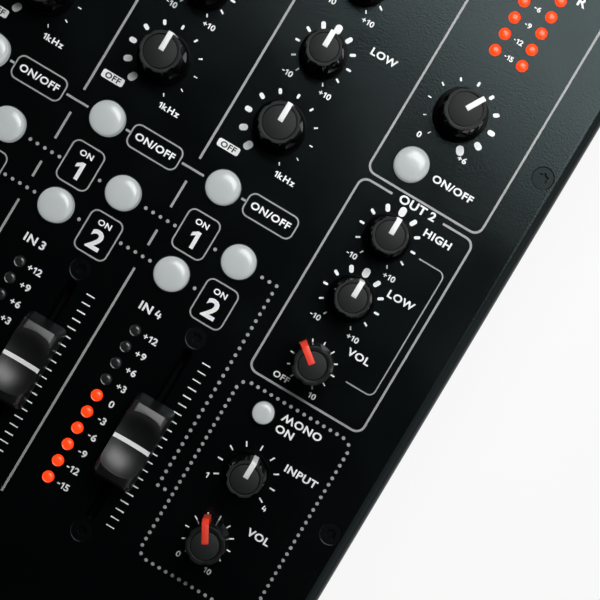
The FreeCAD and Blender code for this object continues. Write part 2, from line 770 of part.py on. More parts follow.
def control_board():
    """Circuit board with its potentiometers, switches and the pillars that hang it from the panel."""
    low_row = min(min(y for x, y, kind, turn in knobs.values()), min(y for x, y in leds))
    board_front = low_row - BOARD_MARGIN
    board_rear = max(y for x, y, kind, turn in knobs.values()) + BOARD_MARGIN
    half_width = right_column + COLUMN_WIDTH - BOARD_SIDE_GAP
    depth = board_rear - board_front
    low = board_top - BOARD_THICKNESS
    plate = block(2 * half_width, depth, BOARD_THICKNESS, 0, (board_front + board_rear) / 2, low)
    bush_height = BOARD_DROP - BUSH_GAP
    pot = block(POT_WIDTH, POT_WIDTH, POT_HEIGHT, 0, 0, 0).fuse(post(BUSH_RADIUS, bush_height, 0, 0, 0))
    pot = pot.cut(post(SHAFT_RADIUS + SHAFT_GAP, bush_height, 0, 0, POT_FLOOR))
    switch = block(SWITCH_WIDTH, SWITCH_WIDTH, SWITCH_HEIGHT, 0, 0, 0)
    well = STEM_INSERTION + BUTTON_TRAVEL + STEM_FLOOR_GAP
    switch = switch.cut(post(STEM_RADIUS + STEM_GAP, well, 0, 0, SWITCH_HEIGHT - well))
    pieces = [plate]
    pieces += [pot.translated(FreeCAD.Vector(x, y, board_top)) for x, y, kind, turn in knobs.values()]
    pieces += [switch.translated(FreeCAD.Vector(x, y, board_top)) for x, y, radius in buttons.values()]
    pillar_x = right_column - COLUMN_GAP / 2
    pillar_rows = (board_front + PILLAR_RADIUS * 2, filter_y + SWEEP_STEP / 2, board_rear - PILLAR_RADIUS * 2)
    for x in (-pillar_x, 0, pillar_x):
        for y in pillar_rows:
            pieces.append(post(PILLAR_RADIUS, BOARD_DROP, x, y, board_top))
    return pieces


def phono_block(centre):
    """Moulded block of four phono sockets, and the collars on it that pass through the rear wall."""
    inner = rear_wall - SHEET
    width = PHONO_PITCH_ACROSS + 2 * PHONO_BLOCK_EDGE
    height = PHONO_PITCH_UP + 2 * PHONO_BLOCK_EDGE
    body = block(
        width, PHONO_BLOCK_DEPTH, height, centre, inner - PHONO_BLOCK_DEPTH / 2, socket_z - height / 2
    )
    face = rear_wall + PHONO_REACH
    own = [place for place in phono_places() if abs(place[0] - centre) < PHONO_PITCH_ACROSS]
    pieces = [body]
    for x, z in own:
        collar = rod(PHONO_RADIUS, face - inner, x, face, z, FRONTWARD)
        pieces.append(collar.cut(rod(PHONO_BORE_RADIUS, PHONO_BORE_DEPTH, x, face, z, FRONTWARD)))
    return pieces


def xlr_output(x):
    """Three pin output: flange on the rear wall, shell with an open well, and its pins."""
    face = rear_wall + XLR_FLANGE
    flange = block(XLR_WIDTH, XLR_FLANGE, XLR_HEIGHT, x, rear_wall + XLR_FLANGE / 2,
                   socket_z - XLR_HEIGHT / 2)
    along = [edge for edge in flange.Edges if abs(edge.tangentAt(edge.FirstParameter).y) > 0.9]
    flange = flange.makeFillet(XLR_CORNER, along)
    shell = flange.fuse(rod(XLR_BODY_RADIUS, XLR_BODY_DEPTH, x, face, socket_z, FRONTWARD))
    shell = shell.cut(rod(XLR_WELL_RADIUS, XLR_WELL_DEPTH, x, face, socket_z, FRONTWARD))
    floor = face - XLR_WELL_DEPTH
    pins = []
    for number in range(XLR_PIN_COUNT):
        angle = math.radians(XLR_PIN_START + 360 * number / XLR_PIN_COUNT)
        pin_x = x + XLR_PIN_CIRCLE * math.cos(angle)
        pin_z = socket_z - XLR_PIN_CIRCLE * math.sin(angle)
        pins.append(rod(XLR_PIN_RADIUS, XLR_PIN_LENGTH, pin_x, floor, pin_z, REARWARD))
    return [shell] + pins


def front_jack(x):
    """Jack in the front wall: bezel, nose and body around one bore."""
    face = front_wall - JACK_BEZEL_THICKNESS
    inner = front_wall + SHEET
    bezel = rod(JACK_BEZEL_RADIUS, JACK_BEZEL_THICKNESS, x, face, socket_z, REARWARD)
    nose = rod(JACK_NOSE_RADIUS, inner - face + SHEET, x, face, socket_z, REARWARD)
    depth = face + JACK_BORE_DEPTH + JACK_FLOOR - inner
    body = block(JACK_WIDTH, depth, JACK_WIDTH, x, inner + depth / 2, socket_z - JACK_WIDTH / 2)
    bore = rod(JACK_BORE_RADIUS, JACK_BORE_DEPTH, x, face, socket_z, REARWARD)
    return body.fuse([bezel, nose]).cut(bore)


def audio_sockets():
    """All signal sockets of the front and the rear."""
    pieces = [front_jack(x) for x in jacks.values()]
    for x in xlr_places:
        pieces += xlr_output(x)
    for centre in phono_centres:
        pieces += phono_block(centre)
    return pieces


def inlet_well():
    """Open well of the mains inlet, with two corners cut off so that a plug enters one way only."""
    half_width = INLET_WELL_WIDTH / 2
    half_height = INLET_WELL_HEIGHT / 2
    outline = [
        (-half_width, -half_height),
        (half_width, -half_height),
        (half_width, half_height - INLET_CORNER),
        (half_width - INLET_CORNER, half_height),
        (INLET_CORNER - half_width, half_height),
        (-half_width, half_height - INLET_CORNER),
    ]
    face_y = rear_wall + INLET_FLANGE
    points = [FreeCAD.Vector(inlet_x + u, face_y, socket_z + v) for u, v in outline]
    face = Part.Face(Part.makePolygon(points + points[:1]))
    return face.extrude(FRONTWARD * INLET_WELL_DEPTH)


def mains_inlet():
    """Mains inlet with its three blades, and beside it the frame of the power switch."""
    face = rear_wall + INLET_FLANGE
    flange = block(INLET_WIDTH, INLET_FLANGE, INLET_HEIGHT, inlet_x, rear_wall + INLET_FLANGE / 2,
                   socket_z - INLET_HEIGHT / 2)
    wide, high = inlet_body()
    depth = INLET_WELL_DEPTH + INLET_FLOOR
    body = block(wide, depth, high, inlet_x, face - depth / 2, socket_z - high / 2)
    inlet = flange.fuse(body).cut(inlet_well())
    pieces = [inlet]
    floor = face - INLET_WELL_DEPTH
    for across, up in ((-BLADE_PITCH, -BLADE_OFFSET), (0, BLADE_OFFSET), (BLADE_PITCH, -BLADE_OFFSET)):
        blade_z = socket_z + up - BLADE_HEIGHT / 2
        pieces.append(block(BLADE_WIDTH, BLADE_LENGTH, BLADE_HEIGHT, inlet_x + across,
                            floor + BLADE_LENGTH / 2, blade_z))
    return pieces + [switch_frame()]


def rocker_pivot_y():
    """Depth of the rocker's pivot behind the rear wall."""
    return rear_wall + ROCKER_FLANGE - ROCKER_PIVOT_DEPTH


def switch_frame():
    """Frame of the power switch, with the well and the two pin holes that its rocker turns in."""
    face = rear_wall + ROCKER_FLANGE
    wide, high = switch_body()
    depth = ROCKER_WELL_DEPTH + ROCKER_FRAME
    body = block(wide, depth, high, switch_x, face - depth / 2, socket_z - high / 2)
    rim = ROCKER_FRAME
    flange = block(wide + rim, ROCKER_FLANGE, high + rim, switch_x, face - ROCKER_FLANGE / 2,
                   socket_z - (high + rim) / 2)
    well_width = ROCKER_WIDTH + 2 * ROCKER_GAP
    well_height = 2 * (ROCKER_RADIUS + ROCKER_GAP)
    well = block(well_width, ROCKER_WELL_DEPTH, well_height, switch_x, face - ROCKER_WELL_DEPTH / 2,
                 socket_z - well_height / 2)
    pin_length = ROCKER_WIDTH + 2 * (ROCKER_PIN_LENGTH + ROCKER_PIN_GAP)
    pin_hole = rod(ROCKER_PIN_RADIUS + ROCKER_PIN_GAP, pin_length, switch_x - pin_length / 2,
                   rocker_pivot_y(), socket_z, FreeCAD.Vector(1, 0, 0))
    return body.fuse(flange).cut([well, pin_hole])


def power_switch():
    """Rocker with two faces that meet over its pivot, and a pin at each side. Its upper end is in."""
    pivot = FreeCAD.Vector(switch_x, rocker_pivot_y(), socket_z)
    sideways = FreeCAD.Vector(1, 0, 0)
    start_x = switch_x - ROCKER_WIDTH / 2
    body = rod(ROCKER_RADIUS, ROCKER_WIDTH, start_x, pivot.y, pivot.z, sideways)
    size = 4 * ROCKER_RADIUS
    crease = FreeCAD.Vector(switch_x, pivot.y + ROCKER_FACE, pivot.z)
    for side in (-1, 1):
        outer = block(size, size, size, switch_x, crease.y + size / 2, crease.z - size / 2)
        half = block(size, size, size, switch_x, crease.y + size / 2,
                     crease.z - size * (1 - side) / 2)
        half = half.common(outer)
        half.rotate(crease, sideways, -side * ROCKER_TILT)
        body = body.cut(half)
    back = block(size, size, size, switch_x, pivot.y - ROCKER_BACK - size / 2, pivot.z - size / 2)
    body = body.cut(back)
    pin_length = ROCKER_WIDTH + 2 * ROCKER_PIN_LENGTH
    body = body.fuse(rod(ROCKER_PIN_RADIUS, pin_length, switch_x - pin_length / 2, pivot.y, pivot.z, sideways))
    body.rotate(pivot, sideways, ROCKER_TILT)
    return [body]


def heat_sink(x, y, z):
    """Extruded cooler: a back plate with upright fins."""
    sink = block(SINK_WIDTH, SINK_FIN, SINK_HEIGHT, x, y - (SINK_DEPTH - SINK_FIN) / 2, z)
    pitch = (SINK_WIDTH - SINK_FIN) / (SINK_FINS - 1)
    fins = []
    for number in range(SINK_FINS):
        fin_x = x - (SINK_WIDTH - SINK_FIN) / 2 + number * pitch
        fins.append(block(SINK_FIN, SINK_DEPTH, SINK_HEIGHT, fin_x, y, z))
    return sink.fuse(fins).removeSplitter()


def power_supply():
    """Supply board on pillars, with its transformer, two capacitors and a heat sink."""
    floor = FOOT_HEIGHT + SHEET
    y = rear - SUPPLY_REAR_GAP - SUPPLY_DEPTH / 2
    plate = block(SUPPLY_WIDTH, SUPPLY_DEPTH, BOARD_THICKNESS, SUPPLY_X, y, floor + SUPPLY_RISE)
    pieces = [plate]
    across = SUPPLY_WIDTH / 2 - SUPPLY_INSET
    along = SUPPLY_DEPTH / 2 - SUPPLY_INSET
    for side_x in (-across, across):
        for side_y in (-along, along):
            pieces.append(post(PILLAR_RADIUS, SUPPLY_RISE, SUPPLY_X + side_x, y + side_y, floor))
    deck = floor + SUPPLY_RISE + BOARD_THICKNESS
    core_x = SUPPLY_X + SUPPLY_WIDTH / 2 - SUPPLY_INSET - CORE_WIDTH / 2
    core_y = y
    coil_height = CORE_HEIGHT - 2 * COIL_MARGIN
    core = block(CORE_WIDTH, CORE_DEPTH - 2 * COIL_MARGIN, CORE_HEIGHT, core_x, core_y, deck)
    coil = round_block(CORE_WIDTH - 4 * COIL_MARGIN, CORE_DEPTH, coil_height, COIL_MARGIN, core_x, core_y,
                       deck + COIL_MARGIN)
    pieces.append(core.fuse(coil))
    left_end = SUPPLY_X - SUPPLY_WIDTH / 2 + SUPPLY_INSET
    for number in range(2):
        capacitor_x = left_end + CAPACITOR_RADIUS + number * CAPACITOR_PITCH
        pieces.append(post(CAPACITOR_RADIUS, CAPACITOR_HEIGHT, capacitor_x, y - along + CAPACITOR_RADIUS, deck))
    pieces.append(heat_sink(left_end + SINK_WIDTH / 2, y + along - SINK_DEPTH / 2, deck))
    return pieces


def save(name, pieces):
    """Write the solids of one node."""
    Part.makeCompound(pieces).exportStep(f"parts/{name}.step")


def moved(pieces, x, y):
    """Copies of pieces that were made over the origin, set on the panel's face."""
    return [piece.translated(FreeCAD.Vector(x, y, panel_top)) for piece in pieces]


def turned_clockwise(pieces, angle):
    """Copies of a knob's pieces, turned from twelve o'clock as seen from above."""
    return [piece.rotated(FreeCAD.Vector(0, 0, 0), UP, -angle) for piece in pieces]


def main():
    """Build every node and write it."""
    os.makedirs("parts", exist_ok=True)
    save("top_panel", top_panel())
    save("base_tray", base_tray())
    save("rubber_feet", rubber_feet())
    save("panel_screws", panel_screws())
    save("control_board", control_board())
    save("meter_leds", meter_leds())
    save("fader_tracks", fader_tracks())
    save("audio_sockets", audio_sockets())
    save("mains_inlet", mains_inlet())
    save("power_switch", power_switch())
    save("power_supply", power_supply())
    kinds = {kind: knob_pieces(kind) for kind in (TONE, LARGE, LEVEL)}
    for name, (x, y, kind, turn) in knobs.items():
        save(name, moved(turned_clockwise(kinds[kind], turn), x, y))
    caps = {radius: button(radius) for radius in (BUTTON_RADIUS, SMALL_BUTTON_RADIUS)}
    for name, (x, y, radius) in buttons.items():
        save(name, moved([caps[radius]], x, y))
    fader = fader_pieces()
    for name, (x, y, shift) in faders.items():
        save(name, moved(fader, x, y + shift))
    crossways = [piece.rotated(FreeCAD.Vector(0, 0, 0), UP, 90) for piece in fader]
    save("crossfader", moved(crossways, CROSSFADER_SHIFT, crossfader_y))


main()
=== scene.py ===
"""Finishes a DJ mixer: its coat, printed scales, knobs, buttons, faders, lamps, sockets and studio.

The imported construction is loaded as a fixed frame, in metres. +X is the operator's right, +Y the rear
and +Z up. Every piece is modelled where the frame says and rides on one of its bodies.
"""
import json
import math

import bmesh
import bpy
from mathutils import Matrix, Vector


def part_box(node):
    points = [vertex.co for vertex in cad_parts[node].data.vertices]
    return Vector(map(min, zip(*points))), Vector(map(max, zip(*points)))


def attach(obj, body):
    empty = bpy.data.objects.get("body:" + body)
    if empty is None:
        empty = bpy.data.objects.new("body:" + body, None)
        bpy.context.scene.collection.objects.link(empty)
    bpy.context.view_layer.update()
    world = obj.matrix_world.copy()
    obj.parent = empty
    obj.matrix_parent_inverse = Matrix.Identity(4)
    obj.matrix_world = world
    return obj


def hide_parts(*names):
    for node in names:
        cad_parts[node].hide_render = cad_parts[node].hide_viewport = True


bl_info = {
    "name": "DJ mixer finish",
    "version": (1, 0, 0),
    "blender": (4, 5, 0),
    "location": "3D View > Sidebar > Mixer",
    "description": "Dresses the packed DJ mixer with its controls, print, sockets and finishes",
    "category": "Object",
}

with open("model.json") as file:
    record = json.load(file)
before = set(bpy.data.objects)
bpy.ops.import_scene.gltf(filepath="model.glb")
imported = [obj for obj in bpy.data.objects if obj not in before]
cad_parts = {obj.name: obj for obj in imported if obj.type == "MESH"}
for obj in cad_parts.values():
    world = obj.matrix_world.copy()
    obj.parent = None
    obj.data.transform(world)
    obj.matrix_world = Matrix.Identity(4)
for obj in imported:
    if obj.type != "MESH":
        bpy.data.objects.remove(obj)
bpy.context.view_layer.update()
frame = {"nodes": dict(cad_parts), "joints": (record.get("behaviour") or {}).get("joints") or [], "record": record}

MM = 0.001
FULL_TURN = 2 * math.pi
NEAR = 1e-6  # points of a mesh that are closer than this are one
CHASSIS = "chassis"
PLAIN_SHEEN = (1, 1, 1, 1)
COAT_SHEEN = (0.76, 0.98, 1.0, 1)

# Places on the panel that the frame doesn't name, in millimetres
STRIP_LEFT = 28.1  # from a fader's slot to the left side of its strip
STRIP_METER = (-18.0, 28.0)  # from the middle of a fader's slot to the first lamp of its meter
COLUMN_LEFT = 16.9  # from a side column's knobs to the left side of the column
COLUMN_WIDTH = 41.6
METER_REAR = 26.0  # from the panel's rear edge to the first lamps of a column's meter
METER_HALF = 5.0  # from the middle of a column's meter to each of its two rows
LAMP_PITCH = 6.05
FADER_SCREW = 35.8  # from the middle of a fader's slot to its screws
CROSS_SCREW = 28.3  # from the middle of the crossfader's slot to its screws
SIDE_SCREW = 7.7  # from the panel's side edges to the screws along them
INNER_SCREW = 66.2  # from the panel's middle to the inner screws of a side
CORNER_SCREW = 12.0  # from the panel's front and rear edges to the outer screws of a side
INPUT_SHIFT = 6.6  # from a fader's slot to the middle of its channel's phono sockets, to the left

# Lamps in a row of a meter, and those at its top that are off, from the left
LAMPS_IN_ROW = 10
STRIP_DARK = (5, 4, 6, 4)
COLUMN_DARK = (6, 4)

# Height of a capital against the size of the font, and outlines of the figures that the font doesn't give
CAPITAL_SHARE = 0.682
FIGURE_OUTLINES = {
    "1": ((0.25, -0.5), (0.25, 0.5), (0.05, 0.5), (-0.22, 0.32), (-0.22, 0.1), (0.03, 0.25), (0.03, -0.5)),
    "4": (
        (0.09, -0.5), (0.3, -0.5), (0.3, -0.24), (0.42, -0.24), (0.42, -0.05), (0.3, -0.05), (0.3, 0.26),
        (0.09, 0.26), (0.09, -0.05), (-0.16, -0.05), (0.02, 0.5), (-0.2, 0.5), (-0.4, -0.07), (-0.4, -0.24),
        (0.09, -0.24),
    ),
    "+": (
        (-0.1, -0.37), (0.1, -0.37), (0.1, -0.1), (0.37, -0.1), (0.37, 0.1), (0.1, 0.1),
        (0.1, 0.37), (-0.1, 0.37), (-0.1, 0.1), (-0.37, 0.1), (-0.37, -0.1), (-0.1, -0.1),
    ),
    "-": ((-0.22, -0.1), (0.22, -0.1), (0.22, 0.1), (-0.22, 0.1)),
}

PLATE_SIZES = "Width, height, thickness, corner radius and rounding of the flange"

joints = {joint["child"]: joint for joint in frame["joints"]}
panel_low, panel_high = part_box("top_panel")
tray_low, tray_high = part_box("base_tray")
panel_top = panel_high.z
strip_numbers = (1, 2, 3, 4)


def length(name, description, millimetres):
    """A size that the user can change, given in millimetres."""
    return bpy.props.FloatProperty(
        name=name, description=description, default=millimetres * MM, min=0.0, precision=5, unit="LENGTH"
    )


def lengths(name, description, millimetres):
    """Sizes that belong together and that the user can change, given in millimetres."""
    return bpy.props.FloatVectorProperty(
        name=name, description=description, default=[value * MM for value in millimetres], min=0.0,
        size=len(millimetres), precision=5, unit="LENGTH"
    )


def share(name, description, default):
    """A number from nought to one that the user can change."""
    return bpy.props.FloatProperty(
        name=name, description=description, default=default, min=0.0, max=1.0, subtype="FACTOR"
    )


def power(name, description, watts):
    """A lamp's power that the user can change."""
    return bpy.props.FloatProperty(name=name, description=description, default=watts, min=0.0, unit="POWER")


def colour(name, description, default):
    """A colour that the user can change."""
    return bpy.props.FloatVectorProperty(
        name=name, description=description, default=default, min=0.0, max=1.0, size=3, subtype="COLOR"
    )


class MixerColours(bpy.types.PropertyGroup):
    """Colours of the mixer's finishes."""

    coat: colour("Coat", "Powder coat of the panel and the case", (0.0008, 0.0011, 0.0012))
    # The caps' sides take a darker tint than their tops: painted shade, as both are one plastic
    cap: colour("Cap", "Gloss plastic of the knob caps' sides", (0.0012, 0.0013, 0.0013))
    crown: colour("Crown", "Matt tops of the knob caps", (0.0081, 0.0097, 0.0097))
    skirt: colour("Skirt", "Plastic of the discs under the knob caps", (0.0008, 0.0008, 0.0008))
    pointer: colour("Pointer", "White inserts of the knobs", (0.84, 0.85, 0.85))
    accent: colour("Accent", "Red inserts of the level knobs", (0.92, 0.06, 0.028))
    # The button colour is also the lenses' glow: painted light that keeps the unlit buttons evenly bright
    button: colour("Button", "Frosted lens of the push buttons", (0.285, 0.305, 0.305))
    fader: colour("Fader", "Plastic of the fader caps", (0.0050, 0.0053, 0.0055))
    fader_line: colour("Fader line", "White lines of the fader caps", (0.94, 0.95, 0.95))
    lit: colour("Lit lamp", "Meter lamps that glow", (1.0, 0.05, 0.004))
    dark: colour("Dark lamp", "Meter lamps that are off", (0.020, 0.021, 0.022))
    white_ink: colour("White ink", "Printed words, numbers and ticks", (0.86, 0.87, 0.87))
    grey_ink: colour("Grey ink", "Printed boxes, lines and dots", (0.33, 0.335, 0.335))
    felt: colour("Felt", "Dust lips in the fader slots", (0.0008, 0.0008, 0.0008))
    track: colour("Track", "Steel of the fader tracks", (0.004, 0.004, 0.004))
    screw: colour("Screw", "Blackened steel of the panel's screws", (0.0016, 0.0016, 0.0018))
    rubber: colour("Rubber", "Feet", (0.016, 0.016, 0.016))
    board: colour("Board", "Control board", (0.01, 0.06, 0.025))
    supply: colour("Supply", "Power supply's parts", (0.12, 0.1, 0.05))
    socket: colour("Socket", "Plastic of the sockets, the inlet and the switch", (0.011, 0.011, 0.012))
    contact: colour("Contact", "Plated metal of the contacts", (0.62, 0.61, 0.58))
    white_insert: colour("White insert", "Upper phono sockets' plastic", (0.62, 0.62, 0.60))
    red_insert: colour("Red insert", "Lower phono sockets' plastic", (0.38, 0.012, 0.012))
    floor: colour("Floor", "Studio floor", (0.92, 0.92, 0.92))


class MixerKnobs(bpy.types.PropertyGroup):
    """Sizes of the knobs, above the panel's face."""

    gap: length("Gap", "Space between a knob and the panel", 1.0)
    height: length("Height", "Top of a cap above the panel", 15.0)
    skirt_thickness: length("Skirt thickness", "Thickness of the disc under a cap", 1.6)
    skirt_margin: length("Skirt margin", "How far the disc stands out from the cap's foot", 1.1)
    skirt_radius: length("Skirt radius", "Radius of the disc under a tone knob's cap", 7.7)
    taper: length("Taper", "How much narrower a cap is at its top", 0.8)
    level_flare: length("Level flare", "How far a level knob's foot stands out past the packed knob", 0.4)
    crown_round: length("Crown round", "Rounding of a cap's top edge", 0.2)
    skirt_round: length("Skirt round", "Rounding of the disc's rim", 0.2)
    edge: length("Edge", "Rounding of a cap's other edges", 0.1)
    groove_margin: length("Groove margin", "Ring groove's distance from the top's edge", 1.0)
    level_margin: length("Level margin", "Ring groove's distance from the top's edge on a level knob", 1.5)
    level_step: length("Level step", "How far a level knob's outer ring lies below its top", 0.16)
    groove_width: length("Groove width", "Width of the ring groove", 0.3)
    groove_depth: length("Groove depth", "Depth of the ring groove", 0.5)
    flute_radius: length("Flute radius", "Radius of the grips cut into a cap's side", 2.4)
    flute_depth: length("Flute depth", "Depth of the grips at the cap's top", 0.42)
    flute_foot: length("Flute foot", "Height of the grips' feet above the cap's foot", 0.8)
    flutes: bpy.props.IntProperty(name="Flutes", description="Number of grips on a cap", default=6, min=1)
    pointer_width: length("Pointer width", "Width of the inserted pointer", 1.75)
    pointer_proud: length("Pointer height", "How far the pointer stands out of the cap", 0.35)
    pointer_depth: length("Pointer depth", "How deep the pointer is set into the cap", 1.2)
    pointer_foot: length("Pointer foot", "Space under the pointer's foot", 0.3)
    pointer_edge: length("Pointer edge", "Rounding of the pointer's edges", 0.14)
    level_pointer: length("Level pointer", "Width of a level knob's pointer", 2.2)
    level_fin: length("Level fin", "How far a level knob's pointer stands out at its foot", 1.0)
    level_slope: length("Level slope", "Height of the sloping end of a level knob's pointer", 3.0)


class MixerButtons(bpy.types.PropertyGroup):
    """Sizes of the push buttons, above the panel's face."""

    radius: length("Radius", "Radius of the large buttons", 5.65)
    small_radius: length("Small radius", "Radius of the small buttons", 3.5)
    dome: length("Dome", "Rise of a large button's face from its rim to its middle", 2.0)
    foot: length("Foot", "Depth of a button's foot below the panel's face", 2.7)


class MixerFaders(bpy.types.PropertyGroup):
    """Sizes of the fader caps, above the panel's face."""

    gap: length("Gap", "Space between a cap and the panel", 2.0)
    top: length("Top", "Top of a cap above the panel", 13.0)
    length: length("Length", "Length of a cap at its foot", 30.0)
    width: length("Width", "Width of a cap at its foot", 14.0)
    end_draft: length("End draft", "How far a cap's ends lean in", 2.3)
    side_draft: length("Side draft", "How far a cap's sides lean in", 0.7)
    crest: length("Crest", "Radius of a cap's top, seen from its side", 41.0)
    crest_drop: length("Crest drop", "How far the ends' upper edges lie below the top", 1.35)
    corner: length("Corner", "Radius of a cap's upright corners and long shoulders", 2.0)
    edge: length("Edge", "Rounding of a cap's edges", 0.35)
    scoop: length("Scoop", "Radius of the scoop for a fingertip", 17.6)
    scoop_depth: length("Scoop depth", "Depth of the scoop below the top", 4.2)
    line: length("Line", "Width of the white line", 1.45)
    line_proud: length("Line height", "How far the white line stands out of the scoop", 0.05)
    line_depth: length("Line depth", "Thickness of the white line", 0.4)
    line_overhang: length("Line overhang", "How far the white line reaches past the cap's top edges", 0.15)
    slot: length("Slot", "Length of a channel fader's slot", 63.0)
    cross_slot: length("Cross slot", "Length of the crossfader's slot", 48.0)
    lip: length("Lip", "Width of each dust lip in a slot", 0.95)
    lip_thickness: length("Lip thickness", "Thickness of the dust lips", 0.4)
    lip_depth: length("Lip depth", "Depth of the dust lips below the panel's face", 1.9)
    lip_offset: length("Lip offset", "Distance of the dust lips from the slot's middle", 1.18)


class MixerLamps(bpy.types.PropertyGroup):
    """Sizes of the meter lamps, above the panel's face."""

    radius: length("Radius", "Outer radius of a lamp's rim", 1.88)
    rim: length("Rim", "Height of a lamp's rim", 0.1)
    lens: length("Lens radius", "Radius of a lamp's lens", 1.6)
    dome: length("Dome", "Height of a lamp's lens", 0.6)
    depth: length("Depth", "Depth of a lamp's foot below the panel's face", 3.0)


class MixerScrews(bpy.types.PropertyGroup):
    """Sizes of the countersunk screws, from the panel's face."""

    head: length("Head", "Radius of a screw's head", 3.65)
    rim: length("Rim", "Width of the sloping rim round a head", 0.24)
    sink: length("Sink", "Depth of a head's flat below the panel's face", 0.075)
    cone: length("Cone", "Depth of the countersink", 1.6)
    shank: length("Shank", "Radius of a screw's shank", 1.9)
    depth: length("Depth", "Length of a screw", 4.0)
    flank: length("Flank", "Depth of a head's upright edge", 0.12)
    edge: length("Edge", "Rounding of a screw's edges", 0.06)
    drive: length("Drive", "Radius of the star recess", 1.8)
    drive_depth: length("Drive depth", "Depth of the star recess", 1.3)


class MixerPrint(bpy.types.PropertyGroup):
    """Sizes of the print on the panel and the plates."""

    thickness: length("Ink thickness", "Height of the ink above the coat", 0.03)
    line: length("Line", "Width of the boxes' lines", 0.74)
    thin_line: length("Thin line", "Width of the brackets' lines", 0.44)
    label_line: length("Label line", "Width of the lines around the button labels", 0.5)
    dot: length("Dot", "Diameter of the dots in a dotted line", 1.2)
    tick: length("Tick", "Width of a fader's ticks", 0.42)
    plate_capital: length("Plate capitals", "Height of the words on the rear and front plates", 3.2)
    plate_rise: length("Plate rise", "Height of the rear plate's words above the sockets' middles", 21.0)
    jack_rise: length("Jack rise", "Height of the front plate's words above the jacks' middles", 12.0)
    weight: share("Weight", "How much the letters are thickened", 0.031)
    figure_space: share("Figure space", "Space between two figures, against their height", 0.17)
    word_space: share("Word space", "Space between two words, against their height", 0.5)
    stretch: bpy.props.FloatProperty(
        name="Stretch", description="Width of the letters against their height", default=1.12,
        min=0.5, max=2.0
    )


class MixerSockets(bpy.types.PropertyGroup):
    """Sizes of the sockets, from the faces of the rear and front plates."""

    xlr_flange: lengths("Output flange", PLATE_SIZES, (26.0, 31.0, 2.0, 3.0, 0.35))
    xlr_screw: length("Output screw", "Distance of an output's screws from its flange's edges", 3.2)
    xlr_body: lengths("Output body", "Radius and depth of an output's body", (11.6, 20.0))
    xlr_well: lengths("Output well", "Radius and depth of an output's well", (9.4, 15.0))
    xlr_pin: lengths("Output pin", "Radius and length of an output's pins", (1.2, 12.5))
    xlr_circle: length("Output pin circle", "Radius of the circle that the pins stand on", 4.4)
    screw: lengths("Screw", "Radius and height of the small screws' heads", (1.7, 0.9))
    phono_radii: lengths("Phono radii", "Radii of a phono socket's contact, outer and inner", (4.15, 3.4))
    phono_reach: length("Phono reach", "How far a phono socket stands out", 11.9)
    phono_foot: length("Phono foot", "How far a phono socket reaches into the plate", 1.6)
    phono_edge: length("Phono edge", "Rounding of a phono socket's contact", 0.4)
    phono_recess: length("Phono recess", "How far the plastic lies inside the contact", 0.5)
    phono_bore: lengths("Phono bore", "Radius and depth of the hole for a plug's pin", (1.65, 8.0))
    phono_pitch: lengths("Phono pitch", "Phono sockets' distances, across and up", (14.0, 17.0))
    backing: lengths("Backing", "Width, height and depth of the block behind them", (27.0, 30.0, 10.0))
    wall: length("Wall", "Depth of the plates, behind which the blocks stand", 2.0)
    jack_ring: lengths("Jack ring", "Radius and height of a front jack's ring", (6.4, 1.5))
    jack_nose: lengths("Jack nose", "Radius and depth of a front jack's nose", (4.8, 23.5))
    jack_bore: lengths("Jack bore", "Radius and depth of a front jack's bore", (3.3, 22.0))
    jack_holder: lengths("Jack holder", "Width and depth of the block round a jack's nose", (15.0, 24.0))


class MixerMains(bpy.types.PropertyGroup):
    """Sizes of the mains inlet and its switch, from the rear plate's face."""

    inlet_flange: lengths("Inlet flange", PLATE_SIZES, (30.0, 23.0, 2.0, 1.5, 0.4))
    inlet_body: lengths("Inlet body", "Thickness and depth of the inlet's body", (1.6, 17.0))
    inlet_well: lengths("Inlet well", "Width, height and depth of the inlet's well", (24.0, 16.6, 13.5))
    well_corner: length("Well corner", "How much the well's two upper corners are cut off", 4.0)
    blade: lengths("Blade", "Width and height of the inlet's blades", (2.0, 4.0))
    blade_ends: lengths("Blade ends", "Depths of the blades' feet and tips", (13.7, 0.5))
    blade_edge: length("Blade edge", "Rounding of the blades", 0.35)
    blade_shift: lengths("Blade shift", "Places of the blades, across and up", (7.0, 2.0))
    rocker_face: length("Rocker face", "Distance of the rocker's faces from its pivot", 3.2)
    rocker_lean: bpy.props.FloatProperty(
        name="Rocker lean", description="Angle between the rocker's two faces", subtype="ANGLE",
        default=math.radians(18)
    )
    mark_rise: length("Mark rise", "Distance of the rocker's marks from its crease", 3.9)
    mark_bar: lengths("Mark bar", "Length and width of the rocker's line", (3.2, 0.7))
    mark_ring: lengths("Mark ring", "Radius and width of the rocker's ring", (1.4, 0.6))
    mark_thickness: length("Mark thickness", "Height of the rocker's ink", 0.03)


